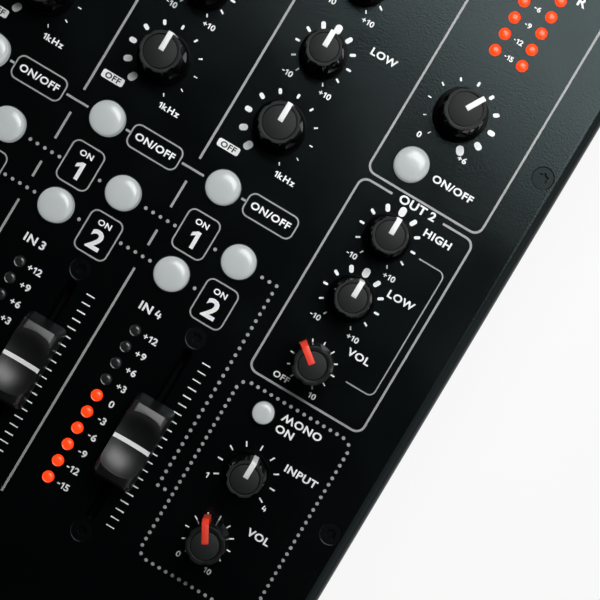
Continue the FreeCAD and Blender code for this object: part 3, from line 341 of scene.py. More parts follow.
class MixerStage(bpy.types.PropertyGroup):
    """Camera and light of the studio."""

    aim: bpy.props.FloatVectorProperty(
        name="Aim", description="Point of the panel at the picture's middle", size=2, unit="LENGTH",
        default=(93.26 * MM, -12.0 * MM)
    )
    distance: length("Distance", "Camera's height above the panel", 497.0)
    turn: bpy.props.FloatProperty(
        name="Turn", description="Turn of the camera about the upright", subtype="ANGLE",
        default=math.radians(30.83)
    )
    lens: bpy.props.FloatProperty(
        name="Lens", description="Focal length, in millimetres", default=93.36, min=10.0
    )
    sensor: bpy.props.FloatProperty(
        name="Sensor", description="Width of the camera's sensor, in millimetres", default=36.0, min=1.0
    )
    key: power("Key light", "Power of the near light that casts the shadows", 0.98)
    sheen: power("Sheen light", "Power of the large light that the coat reflects", 7.5)
    side_sheen: power("Side sheen", "Power of the light that the right edge reflects", 0.8)
    edge_sheen: power("Edge sheen", "Power of the low light along the right edge's roll", 1.5)
    fill: power("Fill light", "Power of each low light round the mixer", 0.7)
    room: share("Room light", "Strength of the even light from all round", 0.3)
    ceiling: share("Ceiling light", "Strength of the light from straight above", 0.015)
    floor_size: length("Floor size", "Distance of the floor's edges from its middle", 3000.0)
    floor_white: share("Floor white", "How much of the floor is plain white where it is seen", 0.9)


def place_of(node):
    """Middle of a node's box at rest."""
    low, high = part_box(node)
    return (low + high) / 2


def body_of(node):
    """Body that a moving node belongs to."""
    return node + "_body"


def turn_of(node):
    """Clockwise turn at which a knob stands, from the middle of its range."""
    low, high = joints[body_of(node)]["range_deg"]
    return -(low + high) / 2


def axis_of(node):
    """Where a turning node's axis meets the panel."""
    return Vector(joints[body_of(node)]["pos_m"])


def slot_middle(node):
    """Middle of the slot that a fader runs in."""
    joint = joints[body_of(node)]
    return place_of(node) + Vector(joint["axis"]) * sum(joint["range_m"]) / 2


knob_nodes = [name for name in frame["nodes"] if "_knob" in name]
button_nodes = [name for name in frame["nodes"] if "_button" in name]
large_knobs = [name for name in knob_nodes if name.startswith(("sweep", "mix"))]
level_knobs = [name for name in knob_nodes if name.startswith(("gain", "booth_level", "phones", "mic"))]
tone_knobs = [name for name in knob_nodes if name not in large_knobs + level_knobs]
small_buttons = [name for name in button_nodes if name.startswith("split")]
large_buttons = [name for name in button_nodes if name not in small_buttons]
fader_nodes = [f"fader_{number}" for number in strip_numbers]
column_knobs = ("source_knob_b", "source_knob_a")


def strip_left(number):
    """Left side of a channel strip, in millimetres."""
    return slot_middle(f"fader_{number}").x / MM - STRIP_LEFT


def column_left(node):
    """Left side of the side column that a knob stands in, in millimetres."""
    return axis_of(node).x / MM - COLUMN_LEFT


# Meshes

def revolve(profile, segments):
    """Closed shell from a profile of (radius, height) points, turned about the upright axis."""
    shell = bmesh.new()
    points = [shell.verts.new((radius, 0, height)) for radius, height in profile]
    lines = [shell.edges.new(pair) for pair in zip(points, points[1:])]
    bmesh.ops.spin(
        shell, geom=points + lines, cent=(0, 0, 0), axis=(0, 0, 1), angle=FULL_TURN, steps=segments,
        use_merge=True
    )
    bmesh.ops.remove_doubles(shell, verts=shell.verts, dist=NEAR)
    bmesh.ops.recalc_face_normals(shell, faces=shell.faces)
    return shell


def pull(shell, faces, way):
    """Extrude faces of a shell along a way."""
    raised = bmesh.ops.extrude_face_region(shell, geom=faces)
    moved = [item for item in raised["geom"] if isinstance(item, bmesh.types.BMVert)]
    bmesh.ops.translate(shell, vec=way, verts=moved)
    bmesh.ops.recalc_face_normals(shell, faces=shell.faces)


def side_shape(outline, width):
    """Closed shell of a width from an outline of (along, height) points, seen from its side."""
    shell = bmesh.new()
    face = shell.faces.new([shell.verts.new((-width / 2, along, height)) for along, height in outline])
    pull(shell, [face], (width, 0, 0))
    return shell


def bevel(shell, edges, width, segments, clamp=False):
    """Round edges of a shell."""
    bmesh.ops.bevel(
        shell, geom=edges, offset=width, affect="EDGES", segments=segments, profile=0.5, material=-1,
        clamp_overlap=clamp
    )


def is_upright(edge):
    """Whether an edge of a shell joins two heights."""
    return abs(edge.verts[0].co.z - edge.verts[1].co.z) > NEAR


def round_rings(shell, rings, width, segments=3):
    """Round the edges that run about the axis at the given (radius, height) points."""
    edges = []
    for edge in shell.edges:
        for radius, height in rings:
            if all(
                abs(vert.co.z - height) < NEAR and abs(vert.co.xy.length - radius) < NEAR
                for vert in edge.verts
            ):
                edges.append(edge)
    bevel(shell, edges, width, segments)


def round_sharp(shell, width, segments=2, limit=35.0):
    """Round every edge of a shell that is sharper than a limit in degrees."""
    sharp = math.radians(limit)
    edges = [edge for edge in shell.edges if edge.is_manifold and edge.calc_face_angle(0) > sharp]
    bevel(shell, edges, width, segments, clamp=True)


def block(size, centre, rounding=0.0, segments=2):
    """Box of a size about a centre, with its edges rounded."""
    shell = bmesh.new()
    place = Matrix.Translation(centre) @ Matrix.Diagonal((*size, 1))
    bmesh.ops.create_cube(shell, size=1, matrix=place)
    if rounding:
        bevel(shell, shell.edges[:], rounding, segments)
    return shell


def slab(width, height, low, high, rounding=0.0):
    """Box that stands on a plate, or in it, from one depth to another."""
    return block((width, height, high - low), (0, 0, (low + high) / 2), rounding)


def rod(shell, radius, depth, segments, matrix):
    """Put a straight rod with its middle at a place into a shell."""
    bmesh.ops.create_cone(
        shell, cap_ends=True, segments=segments, radius1=radius, radius2=radius, depth=depth, matrix=matrix
    )


def peg(radius, low, high, segments):
    """Round peg from one height to another."""
    return revolve(((0, low), (radius, low), (radius, high), (0, high)), segments)


def add(shell, other, matrix=Matrix.Identity(4)):
    """Put a copy of another shell into a shell."""
    mesh = bpy.data.meshes.new("joined")
    other.to_mesh(mesh)
    mesh.transform(matrix)
    shell.from_mesh(mesh)
    bpy.data.meshes.remove(mesh)


def cut(shell, tool, operation="DIFFERENCE"):
    """Take a tool's shape out of a shell, or join or overlap the two, and return the new shell."""
    pair = []
    for part in (shell, tool):
        mesh = bpy.data.meshes.new("cut")
        part.to_mesh(mesh)
        part.free()
        holder = bpy.data.objects.new("cut", mesh)
        bpy.context.scene.collection.objects.link(holder)
        pair.append(holder)
    modifier = pair[0].modifiers.new("cut", "BOOLEAN")
    modifier.operation = operation
    modifier.solver = "EXACT"
    modifier.object = pair[1]
    graph = bpy.context.evaluated_depsgraph_get()
    result = bmesh.new()
    result.from_object(pair[0], graph)
    for holder in pair:
        mesh = holder.data
        bpy.data.objects.remove(holder)
        bpy.data.meshes.remove(mesh)
    bmesh.ops.remove_doubles(result, verts=result.verts, dist=NEAR)
    bmesh.ops.dissolve_degenerate(result, edges=result.edges, dist=NEAR)
    return result


def piece(name, shell, material, body, matrix=Matrix.Identity(4), sharp=30.0):
    """Turn a shell into a finished piece in its place, riding on a body."""
    mesh = bpy.data.meshes.new(name)
    shell.to_mesh(mesh)
    mesh.transform(matrix)
    mesh.materials.append(material)
    mesh.shade_smooth()
    mesh.set_sharp_from_angle(angle=math.radians(sharp))
    holder = bpy.data.objects.new(name, mesh)
    bpy.context.scene.collection.objects.link(holder)
    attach(holder, body)
    return holder


# Finishes

def group_tree(name, inputs, outputs):
    """New shader group with number inputs (name, default) and named number outputs."""
    tree = bpy.data.node_groups.new(name, "ShaderNodeTree")
    for word, default in inputs:
        socket = tree.interface.new_socket(word, in_out="INPUT", socket_type="NodeSocketFloat")
        socket.default_value = default
    for word in outputs:
        tree.interface.new_socket(word, in_out="OUTPUT", socket_type="NodeSocketFloat")
    return tree, tree.nodes.new("NodeGroupInput"), tree.nodes.new("NodeGroupOutput")


def grain_group():
    """Fine moulded or sprayed grain: a height for bumps, and a broad slow tone for colour."""
    found = bpy.data.node_groups.get("surface_grain")
    if found:
        return found
    inputs = (("Scale", 1500.0), ("Patch", 40.0))
    tree, entry, leave = group_tree("surface_grain", inputs, ("Height", "Tone"))
    place = tree.nodes.new("ShaderNodeTexCoord")
    fine = tree.nodes.new("ShaderNodeTexNoise")
    fine.inputs["Detail"].default_value = 2.0
    broad = tree.nodes.new("ShaderNodeTexNoise")
    broad.inputs["Detail"].default_value = 4.0
    for node, word in ((fine, "Scale"), (broad, "Patch")):
        tree.links.new(place.outputs["Object"], node.inputs["Vector"])
        tree.links.new(entry.outputs[word], node.inputs["Scale"])
    tree.links.new(fine.outputs["Fac"], leave.inputs["Height"])
    tree.links.new(broad.outputs["Fac"], leave.inputs["Tone"])
    return tree


def rub_group():
    """Rubbed and dusty spots: a mask that is nought almost everywhere."""
    found = bpy.data.node_groups.get("rub_marks")
    if found:
        return found
    tree, entry, leave = group_tree("rub_marks", (("Scale", 220.0), ("Amount", 0.3)), ("Mask",))
    place = tree.nodes.new("ShaderNodeTexCoord")
    spots = tree.nodes.new("ShaderNodeTexNoise")
    spots.inputs["Detail"].default_value = 6.0
    spots.inputs["Roughness"].default_value = 0.7
    rise = tree.nodes.new("ShaderNodeMapRange")
    rise.inputs["From Min"].default_value = 0.62
    rise.inputs["From Max"].default_value = 0.80
    amount = tree.nodes.new("ShaderNodeMath")
    amount.operation = "MULTIPLY"
    tree.links.new(place.outputs["Object"], spots.inputs["Vector"])
    tree.links.new(entry.outputs["Scale"], spots.inputs["Scale"])
    tree.links.new(spots.outputs["Fac"], rise.inputs["Value"])
    tree.links.new(rise.outputs["Result"], amount.inputs[0])
    tree.links.new(entry.outputs["Amount"], amount.inputs[1])
    tree.links.new(amount.outputs["Value"], leave.inputs["Mask"])
    return tree


def finish(
    name, tint, rough, grain, depth, patch=40.0, spread=0.15, rub=0.3, metal=0.0, specular=0.5,
    sheen=PLAIN_SHEEN
):
    """Material with grain of a scale and depth, uneven tone and rubbed spots.

    grain and patch count features in a metre, depth is the grain's height in millimetres, spread is how far
    the tone strays from the tint, and rub is how much of a rubbed spot shows.
    """
    gloss_spread = 0.08
    rub_gain = 1.6
    rub_lift = 0.01
    made = bpy.data.materials.new(name)
    made.use_nodes = True
    nodes = made.node_tree.nodes
    links = made.node_tree.links
    shader = nodes["Principled BSDF"]
    shader.inputs["Metallic"].default_value = metal
    shader.inputs["Specular IOR Level"].default_value = specular
    shader.inputs["Specular Tint"].default_value = sheen
    surface = nodes.new("ShaderNodeGroup")
    surface.node_tree = grain_group()
    surface.inputs["Scale"].default_value = grain
    surface.inputs["Patch"].default_value = patch
    rubbed = nodes.new("ShaderNodeGroup")
    rubbed.node_tree = rub_group()
    rubbed.inputs["Amount"].default_value = rub
    tone = nodes.new("ShaderNodeMix")
    tone.data_type = "RGBA"
    tone.inputs["A"].default_value = (*[value * (1 - spread) for value in tint], 1)
    tone.inputs["B"].default_value = (*[min(value * (1 + spread), 1) for value in tint], 1)
    worn = nodes.new("ShaderNodeMix")
    worn.data_type = "RGBA"
    worn.inputs["B"].default_value = (*[min(value * rub_gain + rub_lift, 1) for value in tint], 1)
    gloss = nodes.new("ShaderNodeMapRange")
    gloss.inputs["To Min"].default_value = max(rough - gloss_spread, 0.02)
    gloss.inputs["To Max"].default_value = min(rough + gloss_spread, 1)
    bump = nodes.new("ShaderNodeBump")
    bump.inputs["Strength"].default_value = 0.6
    bump.inputs["Distance"].default_value = depth * MM
    links.new(surface.outputs["Tone"], tone.inputs["Factor"])
    links.new(tone.outputs["Result"], worn.inputs["A"])
    links.new(rubbed.outputs["Mask"], worn.inputs["Factor"])
    links.new(worn.outputs["Result"], shader.inputs["Base Color"])
    links.new(surface.outputs["Tone"], gloss.inputs["Value"])
    links.new(gloss.outputs["Result"], shader.inputs["Roughness"])
    links.new(surface.outputs["Height"], bump.inputs["Height"])
    links.new(bump.outputs["Normal"], shader.inputs["Normal"])
    return made


def principled(material):
    """The shader of a material."""
    return material.node_tree.nodes["Principled BSDF"]


def glow(material, tint, strength):
    """Let a material shine in a tint."""
    principled(material).inputs["Emission Color"].default_value = (*tint, 1)
    principled(material).inputs["Emission Strength"].default_value = strength


def dress(node, material):
    """Give a node of the construction its material."""
    slots = frame["nodes"][node].data.materials
    slots.clear()
    slots.append(material)


class MIXER_OT_case(bpy.types.Operator):
    """Coat the panel and the case, and finish what stands under and inside them"""

    bl_idname = "mixer.case"
    bl_label = "Case"

    def execute(self, context):
        paint = context.scene.mixer_colours
        dress("top_panel", finish(
            "panel_powder_coat", paint.coat, rough=0.2, grain=1600, depth=0.06, spread=0.12, rub=0.1,
            specular=0.2, sheen=COAT_SHEEN
        ))
        dress("base_tray", finish(
            "case_powder_coat", paint.coat, rough=0.5, grain=1500, depth=0.04, spread=0.12
        ))
        dress("rubber_feet", finish("feet_rubber", paint.rubber, rough=0.8, grain=900, depth=0.04))
        dress("control_board", finish("green_board", paint.board, rough=0.4, grain=400, depth=0.02))
        dress("fader_tracks", finish(
            "fader_track_steel", paint.track, rough=0.7, grain=700, depth=0.02, rub=0.0, specular=0.1
        ))
        dress("power_supply", finish("supply_parts", paint.supply, rough=0.5, grain=400, depth=0.04))
        return {"FINISHED"}


def knob_cap(size, foot, crown, deck, margin, step):
    """Cap with a ring groove, an outer ring that lies a step lower, and grips, above a panel at nought."""
    top = size.height
    ring = top - step
    groove = crown - margin
    inner = groove - size.groove_width
    low = top - size.groove_depth
    profile = (
        (0, deck), (foot, deck), (crown, ring), (groove, ring),
        (groove, low), (inner, low), (inner, top), (0, top),
    )
    cap = revolve(profile, segments=96)
    round_rings(cap, ((crown, ring),), size.crown_round, segments=5)
    round_rings(cap, ((groove, ring), (inner, top)), size.groove_width / 4, segments=2)
    grips = bmesh.new()
    reach = crown - size.flute_depth + size.flute_radius
    rise = top - deck
    for number in range(size.flutes):
        turn = Matrix.Rotation(FULL_TURN * number / size.flutes, 4, "Z")
        place = turn @ Matrix.Translation((0, reach, deck + size.flute_foot + rise / 2))
        rod(grips, size.flute_radius, rise, 40, place)
    cap = cut(cap, grips)
    round_sharp(cap, size.edge, limit=40)
    return cap


def crowned(material, tint, rough, height):
    """Give what lies above a height its own tint and roughness, leaving painted shade below it."""
    nodes = material.node_tree.nodes
    links = material.node_tree.links
    shader = principled(material)
    place = nodes.new("ShaderNodeTexCoord")
    parts = nodes.new("ShaderNodeSeparateXYZ")
    above = nodes.new("ShaderNodeMapRange")
    above.inputs["From Min"].default_value = height - 0.25 * MM
    above.inputs["From Max"].default_value = height - 0.05 * MM
    shade = nodes.new("ShaderNodeMix")
    shade.data_type = "RGBA"
    shade.inputs["B"].default_value = (*tint, 1)
    gloss = nodes.new("ShaderNodeMix")
    gloss.inputs["B"].default_value = rough
    links.new(place.outputs["Object"], parts.inputs["Vector"])
    links.new(parts.outputs["Z"], above.inputs["Value"])
    for mixed, word in ((shade, "Base Color"), (gloss, "Roughness")):
        links.new(above.outputs["Result"], mixed.inputs["Factor"])
        links.new(shader.inputs[word].links[0].from_socket, mixed.inputs["A"])
        links.new(mixed.outputs["Result"], shader.inputs[word])


def knob_skirt(size, foot, radius):
    """Disc under a cap, with a rounded rim."""
    low = size.gap
    deck = low + size.skirt_thickness
    seat = foot - size.skirt_round
    skirt = revolve(((0, low), (radius, low), (radius, deck), (seat, deck), (0, deck)), segments=96)
    round_rings(skirt, ((radius, deck),), size.skirt_round, segments=3)
    round_rings(skirt, ((radius, low),), size.skirt_round, segments=2)
    return skirt


def knob_pointer(size, foot, crown, deck, width, fin, slope):
    """Insert from a cap's middle over its crown and down its side, towards the rear."""
    proud = size.pointer_proud
    top = size.height + proud
    under = size.height - size.pointer_depth
    low = deck + size.pointer_foot
    start, ramp, level = 0.25 * MM, 0.6 * MM, 1.3 * MM
    outline = [
        (start, under),
        (start, size.height - size.edge),
        (ramp, size.height + proud / 2),
        (level, top),
        (crown, top),
        (crown + proud, top - proud),
        (foot + fin, low),
        (crown - size.pointer_depth, low),
        (crown - size.pointer_depth, under),
    ]
    if slope:
        outline.insert(-3, (foot + fin, top - slope))
    shell = side_shape(outline, width)
    round_sharp(shell, size.pointer_edge, segments=3, limit=20)
    return shell


class MIXER_OT_knobs(bpy.types.Operator):
    """Model every knob: cap, skirt where it has one, and pointer"""

    bl_idname = "mixer.knobs"
    bl_label = "Knobs"

    def execute(self, context):
        paint = context.scene.mixer_colours
        size = context.scene.mixer_knobs
        cap_finish_shaded_sides = finish(
            "knob_plastic_black", paint.cap, rough=0.24, grain=2600, depth=0.006, patch=120, spread=0.12,
            rub=0.0, specular=0.2
        )
        # Painted shade: the tops get the lighter crown tint, the sides keep the darker tint of unlit plastic
        crowned(cap_finish_shaded_sides, paint.crown, rough=0.55, height=panel_top + size.height)
        skirt_finish = finish(
            "knob_gloss_plastic", paint.skirt, rough=0.18, grain=2000, depth=0.005, rub=0.0, specular=0.03
        )
        white = finish(
            "white_pointer_plastic", paint.pointer, rough=0.4, grain=1500, depth=0.01, spread=0.04, rub=0.0
        )
        red = finish(
            "red_pointer_plastic", paint.accent, rough=0.35, grain=1500, depth=0.01, spread=0.06, rub=0.0
        )
        for nodes in (tone_knobs, large_knobs, level_knobs):
            skirted = nodes is not level_knobs
            low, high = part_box(nodes[0])
            axis = axis_of(nodes[0])
            rim = min(axis.x - low.x, high.x - axis.x, axis.y - low.y, high.y - axis.y)
            scale = rim / size.skirt_radius
            if skirted:
                foot, deck = rim - size.skirt_margin * scale, size.gap + size.skirt_thickness
                margin, step = size.groove_margin * scale, 0.0
                width, fin, slope = size.pointer_width, size.pointer_proud, 0.0
                insert, slot = white, "pointer_white"
            else:
                foot, deck = rim + size.level_flare, size.gap
                margin, step = size.level_margin, size.level_step
                width, fin, slope = size.level_pointer, size.level_fin, size.level_slope
                insert, slot = red, "pointer_red"
            crown = foot - size.taper
            cap = knob_cap(size, foot, crown, deck, margin, step)
            pointer = knob_pointer(size, foot, crown, deck, width, fin, slope)
            skirt = knob_skirt(size, foot, rim)
            for node in nodes:
                turn = Matrix.Rotation(-math.radians(turn_of(node)), 4, "Z")
                place = Matrix.Translation(axis_of(node)) @ turn
                made = piece(f"{node}_cap", cap, cap_finish_shaded_sides, body_of(node), place)
                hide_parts(node)
                piece(f"{node}_pointer", pointer, insert, body_of(node), place)
                if skirted:
                    piece(f"{node}_skirt", skirt, skirt_finish, body_of(node), place)
        return {"FINISHED"}


def button_cap(size, radius, top):
    """Dome that is flat in its middle and round at its shoulder, on a stem through the panel."""
    rise = size.dome * radius / size.radius
    steps = 24
    fullness = 0.8
    shoulder = []
    for step in range(steps, -1, -1):
        turn = math.pi / 2 * step / steps
        across = radius * math.sin(turn) ** fullness
        shoulder.append((across, top - rise + rise * abs(math.cos(turn)) ** fullness))
    return revolve(((0, -size.foot), (radius, -size.foot), *shoulder), segments=72)


class MIXER_OT_buttons(bpy.types.Operator):
    """Model the push buttons as frosted domes with a round shoulder and a painted glow"""

    bl_idname = "mixer.buttons"
    bl_label = "Buttons"

    def execute(self, context):
        paint = context.scene.mixer_colours
        size = context.scene.mixer_buttons
        lens = finish(
            "frosted_lens_painted_glow", paint.button, rough=0.2, grain=1200, depth=0.002, patch=90, spread=0.05,
            rub=0.1, specular=0.55
        )
        # Painted light: the unlit lens glows in its own colour, so the buttons look evenly lit across the panel
        glow(lens, paint.button, strength=0.8)
        principled(lens).inputs["Subsurface Weight"].default_value = 0.15
        principled(lens).inputs["Subsurface Radius"].default_value = (0.002, 0.002, 0.002)
        for nodes, radius in ((large_buttons, size.radius), (small_buttons, size.small_radius)):
            cap = button_cap(size, radius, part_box(nodes[0])[1].z - panel_top)
            for node in nodes:
                spot = place_of(node)
                place = Matrix.Translation((spot.x, spot.y, panel_top))
                made = piece(f"{node}_lens", cap, lens, body_of(node), place, sharp=50)
                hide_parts(node)
        return {"FINISHED"}


def fader_shape(size):
    """Cap with sloping sides and ends, a crowned top and a scoop for a fingertip, along Y."""
    half = size.length / 2
    ends = size.top - size.crest_drop
    lean = math.asin((half - size.end_draft) / size.crest)
    low = ends - size.crest * math.cos(lean)
    steps = 22
    outline = [(-half, size.gap), (half, size.gap)]
    for step in range(steps + 1):
        turn = lean * (1 - 2 * step / steps)
        outline.append((size.crest * math.sin(turn), low + size.crest * math.cos(turn)))
    shell = side_shape(outline, size.width)
    upper = [vert for vert in shell.verts if vert.co.z > size.gap + NEAR]
    bmesh.ops.scale(shell, vec=(1 - 2 * size.side_draft / size.width, 1, 1), verts=upper)
    rounded = []
    for edge in shell.edges:
        first, last = (vert.co for vert in edge.verts)
        is_corner = abs(first.z - last.z) > (ends - size.gap) / 2
        is_shoulder = min(first.z, last.z) > ends - NEAR and first.x * last.x > 0
        if is_corner or is_shoulder:
            rounded.append(edge)
    bevel(shell, rounded, size.corner, segments=8)
    scoop = bmesh.new()
    bmesh.ops.create_uvsphere(
        scoop, u_segments=128, v_segments=96, radius=size.scoop,
        matrix=Matrix.Translation((0, 0, size.top - size.scoop_depth + size.scoop))
    )
    shell = cut(shell, scoop)
    round_sharp(shell, size.edge, segments=3, limit=12)
    return shell


def fader_line(size):
    """White strip across the bottom of the scoop."""
    centre = size.top - size.scoop_depth + size.scoop
    reach = size.scoop - size.line_proud
    lean = math.asin((size.width / 2 - size.side_draft + size.line_overhang) / size.scoop)
    shell = bmesh.new()
    points = [
        shell.verts.new((-reach * math.sin(lean), side * size.line / 2, centre - reach * math.cos(lean)))
        for side in (-1, 1)
    ]
    edge = shell.edges.new(points)
    bmesh.ops.spin(
        shell, geom=points + [edge], cent=(0, 0, centre), axis=(0, -1, 0), angle=2 * lean, steps=24,
        use_merge=False
    )
    pull(shell, shell.faces[:], (0, 0, -size.line_depth))
    return shell


class MIXER_OT_faders(bpy.types.Operator):
    """Model the fader caps with their lines, and the dust lips in their slots"""

    bl_idname = "mixer.faders"
    bl_label = "Faders"

    def execute(self, context):
        paint = context.scene.mixer_colours
        plastic = finish("fader_moulding", paint.fader, rough=0.36, grain=2400, depth=0.01, patch=80)
        white = finish(
            "fader_line", paint.fader_line, rough=0.4, grain=1500, depth=0.01, spread=0.04, rub=0.0
        )
        felt = finish("slot_felt", paint.felt, rough=0.95, grain=3000, depth=0.05, rub=0.0, specular=0.0)
        size = context.scene.mixer_faders
        cap = fader_shape(size)
        line = fader_line(size)
        thin = size.lip_thickness
        lip = block((size.lip, size.slot, thin), (0, 0, -size.lip_depth), rounding=thin / 4)
        lips = bmesh.new()
        for side in (-1, 1):
            add(lips, lip, Matrix.Translation((side * size.lip_offset, 0, 0)))
        for node in fader_nodes + ["crossfader"]:
            across = node == "crossfader"
            turn = Matrix.Rotation(math.pi / 2 if across else 0, 4, "Z")
            spot = place_of(node)
            place = Matrix.Translation((spot.x, spot.y, panel_top)) @ turn
            made = piece(f"{node}_cap", cap, plastic, body_of(node), place, sharp=40)
            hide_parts(node)
            piece(f"{node}_line", line, white, body_of(node), place)
            middle = slot_middle(node)
            trim = Matrix.Diagonal((1, size.cross_slot / size.slot if across else 1, 1, 1))
            place = Matrix.Translation((middle.x, middle.y, panel_top)) @ turn @ trim
            piece(f"{node}_dust_lips", lips, felt, CHASSIS, place)
        return {"FINISHED"}


def lamp_places():
    """Axes of the meter lamps with whether each is lit, from the top of each row."""
    rows = []
    for number, dark in zip(strip_numbers, STRIP_DARK):
        start = slot_middle(f"fader_{number}") / MM
        rows.append((start.x + STRIP_METER[0], start.y + STRIP_METER[1], dark))
    rear = panel_high.y / MM - METER_REAR
    for node, dark in zip(column_knobs, COLUMN_DARK):
        middle = column_left(node) + COLUMN_WIDTH / 2
        rows += [(middle + side * METER_HALF, rear, dark) for side in (-1, 1)]
    return [
        (x * MM, (y - step * LAMP_PITCH) * MM, step >= dark)
        for x, y, dark in rows
        for step in range(LAMPS_IN_ROW)
    ]


class MIXER_OT_lamps(bpy.types.Operator):
    """Model the meter lamps as round domes, lit up to each meter's level"""

    bl_idname = "mixer.lamps"
    bl_label = "Meter lamps"

    def execute(self, context):
        paint = context.scene.mixer_colours
        lit = finish("lamp_lit", paint.lit, rough=0.3, grain=900, depth=0.004, spread=0.05, rub=0.0)
        glow(lit, paint.lit, strength=0.8)
        dark = finish("lamp_dark", paint.dark, rough=0.1, grain=900, depth=0.001, spread=0.1, rub=0.0)
        size = context.scene.mixer_lamps
        steps = 8
        lens = []
        for step in range(steps, -1, -1):
            turn = math.pi / 2 * step / steps
            lens.append((size.lens * math.sin(turn), size.dome * math.cos(turn)))
        rim = ((0, -size.depth), (size.radius, -size.depth), (size.radius, size.rim))
        lamp = revolve((*rim, *lens), segments=28)
        shown = {True: bmesh.new(), False: bmesh.new()}
        for x, y, glows in lamp_places():
            add(shown[glows], lamp, Matrix.Translation((x, y, panel_top)))
        bright = piece("meter_lamps_lit", shown[True], lit, CHASSIS, sharp=50)
        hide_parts("meter_leds")
        piece("meter_lamps_dark", shown[False], dark, CHASSIS, sharp=50)
        return {"FINISHED"}


def screw_places():
    """Axes of the countersunk screws: at each fader's ends, the crossfader's and the panel's sides."""
    places = []
    for node in fader_nodes:
        middle = slot_middle(node)
        places += [(middle.x, middle.y + side * FADER_SCREW * MM) for side in (-1, 1)]
    middle = slot_middle("crossfader")
    places += [(middle.x + side * CROSS_SCREW * MM, middle.y) for side in (-1, 1)]
    centre = (panel_low + panel_high) / 2
    half = (panel_high - panel_low) / 2
    reach = half.x - SIDE_SCREW * MM
    for side in (-1, 1):
        for along in (INNER_SCREW * MM, half.y - CORNER_SCREW * MM):
            places += [(centre.x + side * reach, centre.y + end * along) for end in (-1, 1)]
    return places


def star_recess(radius, depth):
    """Hole of a screw's drive with six lobes, as the shape that is cut away."""
    core, lobe, circle = 0.78 * radius, 0.24 * radius, 0.76 * radius
    lobes = 6
    tool = bmesh.new()
    rod(tool, core, 2 * depth, 36, Matrix.Identity(4))
    for number in range(lobes):
        point = bmesh.new()
        turn = Matrix.Rotation(FULL_TURN * number / lobes, 4, "Z")
        rod(point, lobe, 2 * depth, 16, turn @ Matrix.Translation((0, circle, 0)))
        tool = cut(tool, point, "UNION")
    return tool


class MIXER_OT_screws(bpy.types.Operator):
    """Model the countersunk screws with their star recesses"""

    bl_idname = "mixer.screws"
    bl_label = "Screws"

    def execute(self, context):
        paint = context.scene.mixer_colours
        steel = finish(
            "black_screw_steel", paint.screw, rough=0.26, grain=900, depth=0.004, rub=0.0, specular=0.16,
            sheen=COAT_SHEEN
        )
        size = context.scene.mixer_screws
        profile = (
            (0, -size.depth),
            (size.shank, -size.depth),
            (size.shank, -size.cone),
            (size.head, -size.flank),
            (size.head, 0),
            (size.head - size.rim, -size.sink),
            (0, -size.sink),
        )
        screw = cut(revolve(profile, segments=64), star_recess(size.drive, size.drive_depth))
        round_sharp(screw, size.edge, limit=50)
        every = bmesh.new()
        for x, y in screw_places():
            add(every, screw, Matrix.Translation((x, y, panel_top)))
        made = piece("panel_screw_heads", every, steel, CHASSIS, sharp=12)
        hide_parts("panel_screws")
        return {"FINISHED"}


# Print, drawn in millimetres

METER_FIGURES = ("+12", "+9", "+6", "+3", "0", "-3", "-6", "-9", "-12", "-15")
SCALE_ANGLES = range(-150, 151, 30)
HALF_ROUND = 0.48  # rounding of a mark's ends, against its width
ROUND_FROM = 0.6  # width from which a mark has round ends
BOX_CORNER = 2.3  # corners of the labels' boxes
FIGURE_BOX = (5.7, 7.05)  # half the width and half the height of a box round one figure
COLUMN_CORNER = 3.0  # corners of the side columns' boxes
COLUMN_REAR = 12.0  # from the panel's rear edge to the rear ends of boxes and borders
TITLE_GAP = (11.1, 29.9)  # gap for a title, from the left side of a column's box
BUS_A, BUS_B = -0.44, 0.12  # from the cue buttons' middles to the dotted lines that pass them
DOT_PITCH, UPRIGHT_DOT_PITCH, BOX_DOT_PITCH = 2.71, 2.55, 2.38

# Scales about a knob: the radius of the marks, and words with their offsets to the right and to the rear
# and the height of their capitals
SWEEP_SCALE = (11.6, (("1kHz", 9.72, -13.23, 1.95),))
TONE_SCALE = (9.46, (("-10", -6.95, -10.6, 1.8), ("+10", 7.0, -10.7, 1.8)))
GAIN_SCALE = (7.5, (("0", -5.6, -9.4, 1.9), ("10", 5.4, -9.4, 1.9)))
VOLUME_SCALE = (7.25, (("OFF", -6.45, -8.6, 1.87), ("10", 5.1, -8.9, 1.8)))
PHONES_SCALE = (7.5, (("0", -5.6, -9.0, 1.8), ("10", 5.2, -9.0, 1.8)))
SOURCE_SCALE = (9.6, (("1", -10.6, -6.6, 1.9), ("4", 10.6, -6.6, 1.9)))
MIX_SCALE = (11.4, (("+6", 7.8, -12.0, 1.8), ("0", -8.2, -12.0, 1.8)))


def flat_bar(ink, start, end, width, rounding=0.0):
    """Straight line of ink between two points, its corners rounded by a share of its width."""
    (x0, y0), (x1, y1) = start, end
    along = math.hypot(x1 - x0, y1 - y0)
    matrix = (
        Matrix.Translation(((x0 + x1) / 2 * MM, (y0 + y1) / 2 * MM, 0))
        @ Matrix.Rotation(math.atan2(y1 - y0, x1 - x0), 4, "Z")
        @ Matrix.Diagonal((along * MM, width * MM, 1, 1))
    )
    made = bmesh.ops.create_grid(ink, x_segments=1, y_segments=1, size=0.5, matrix=matrix)
    if rounding:
        bmesh.ops.bevel(
            ink, geom=made["verts"], offset=min(along, width) * rounding * MM, affect="VERTICES",
            segments=5, profile=0.5, material=-1
        )


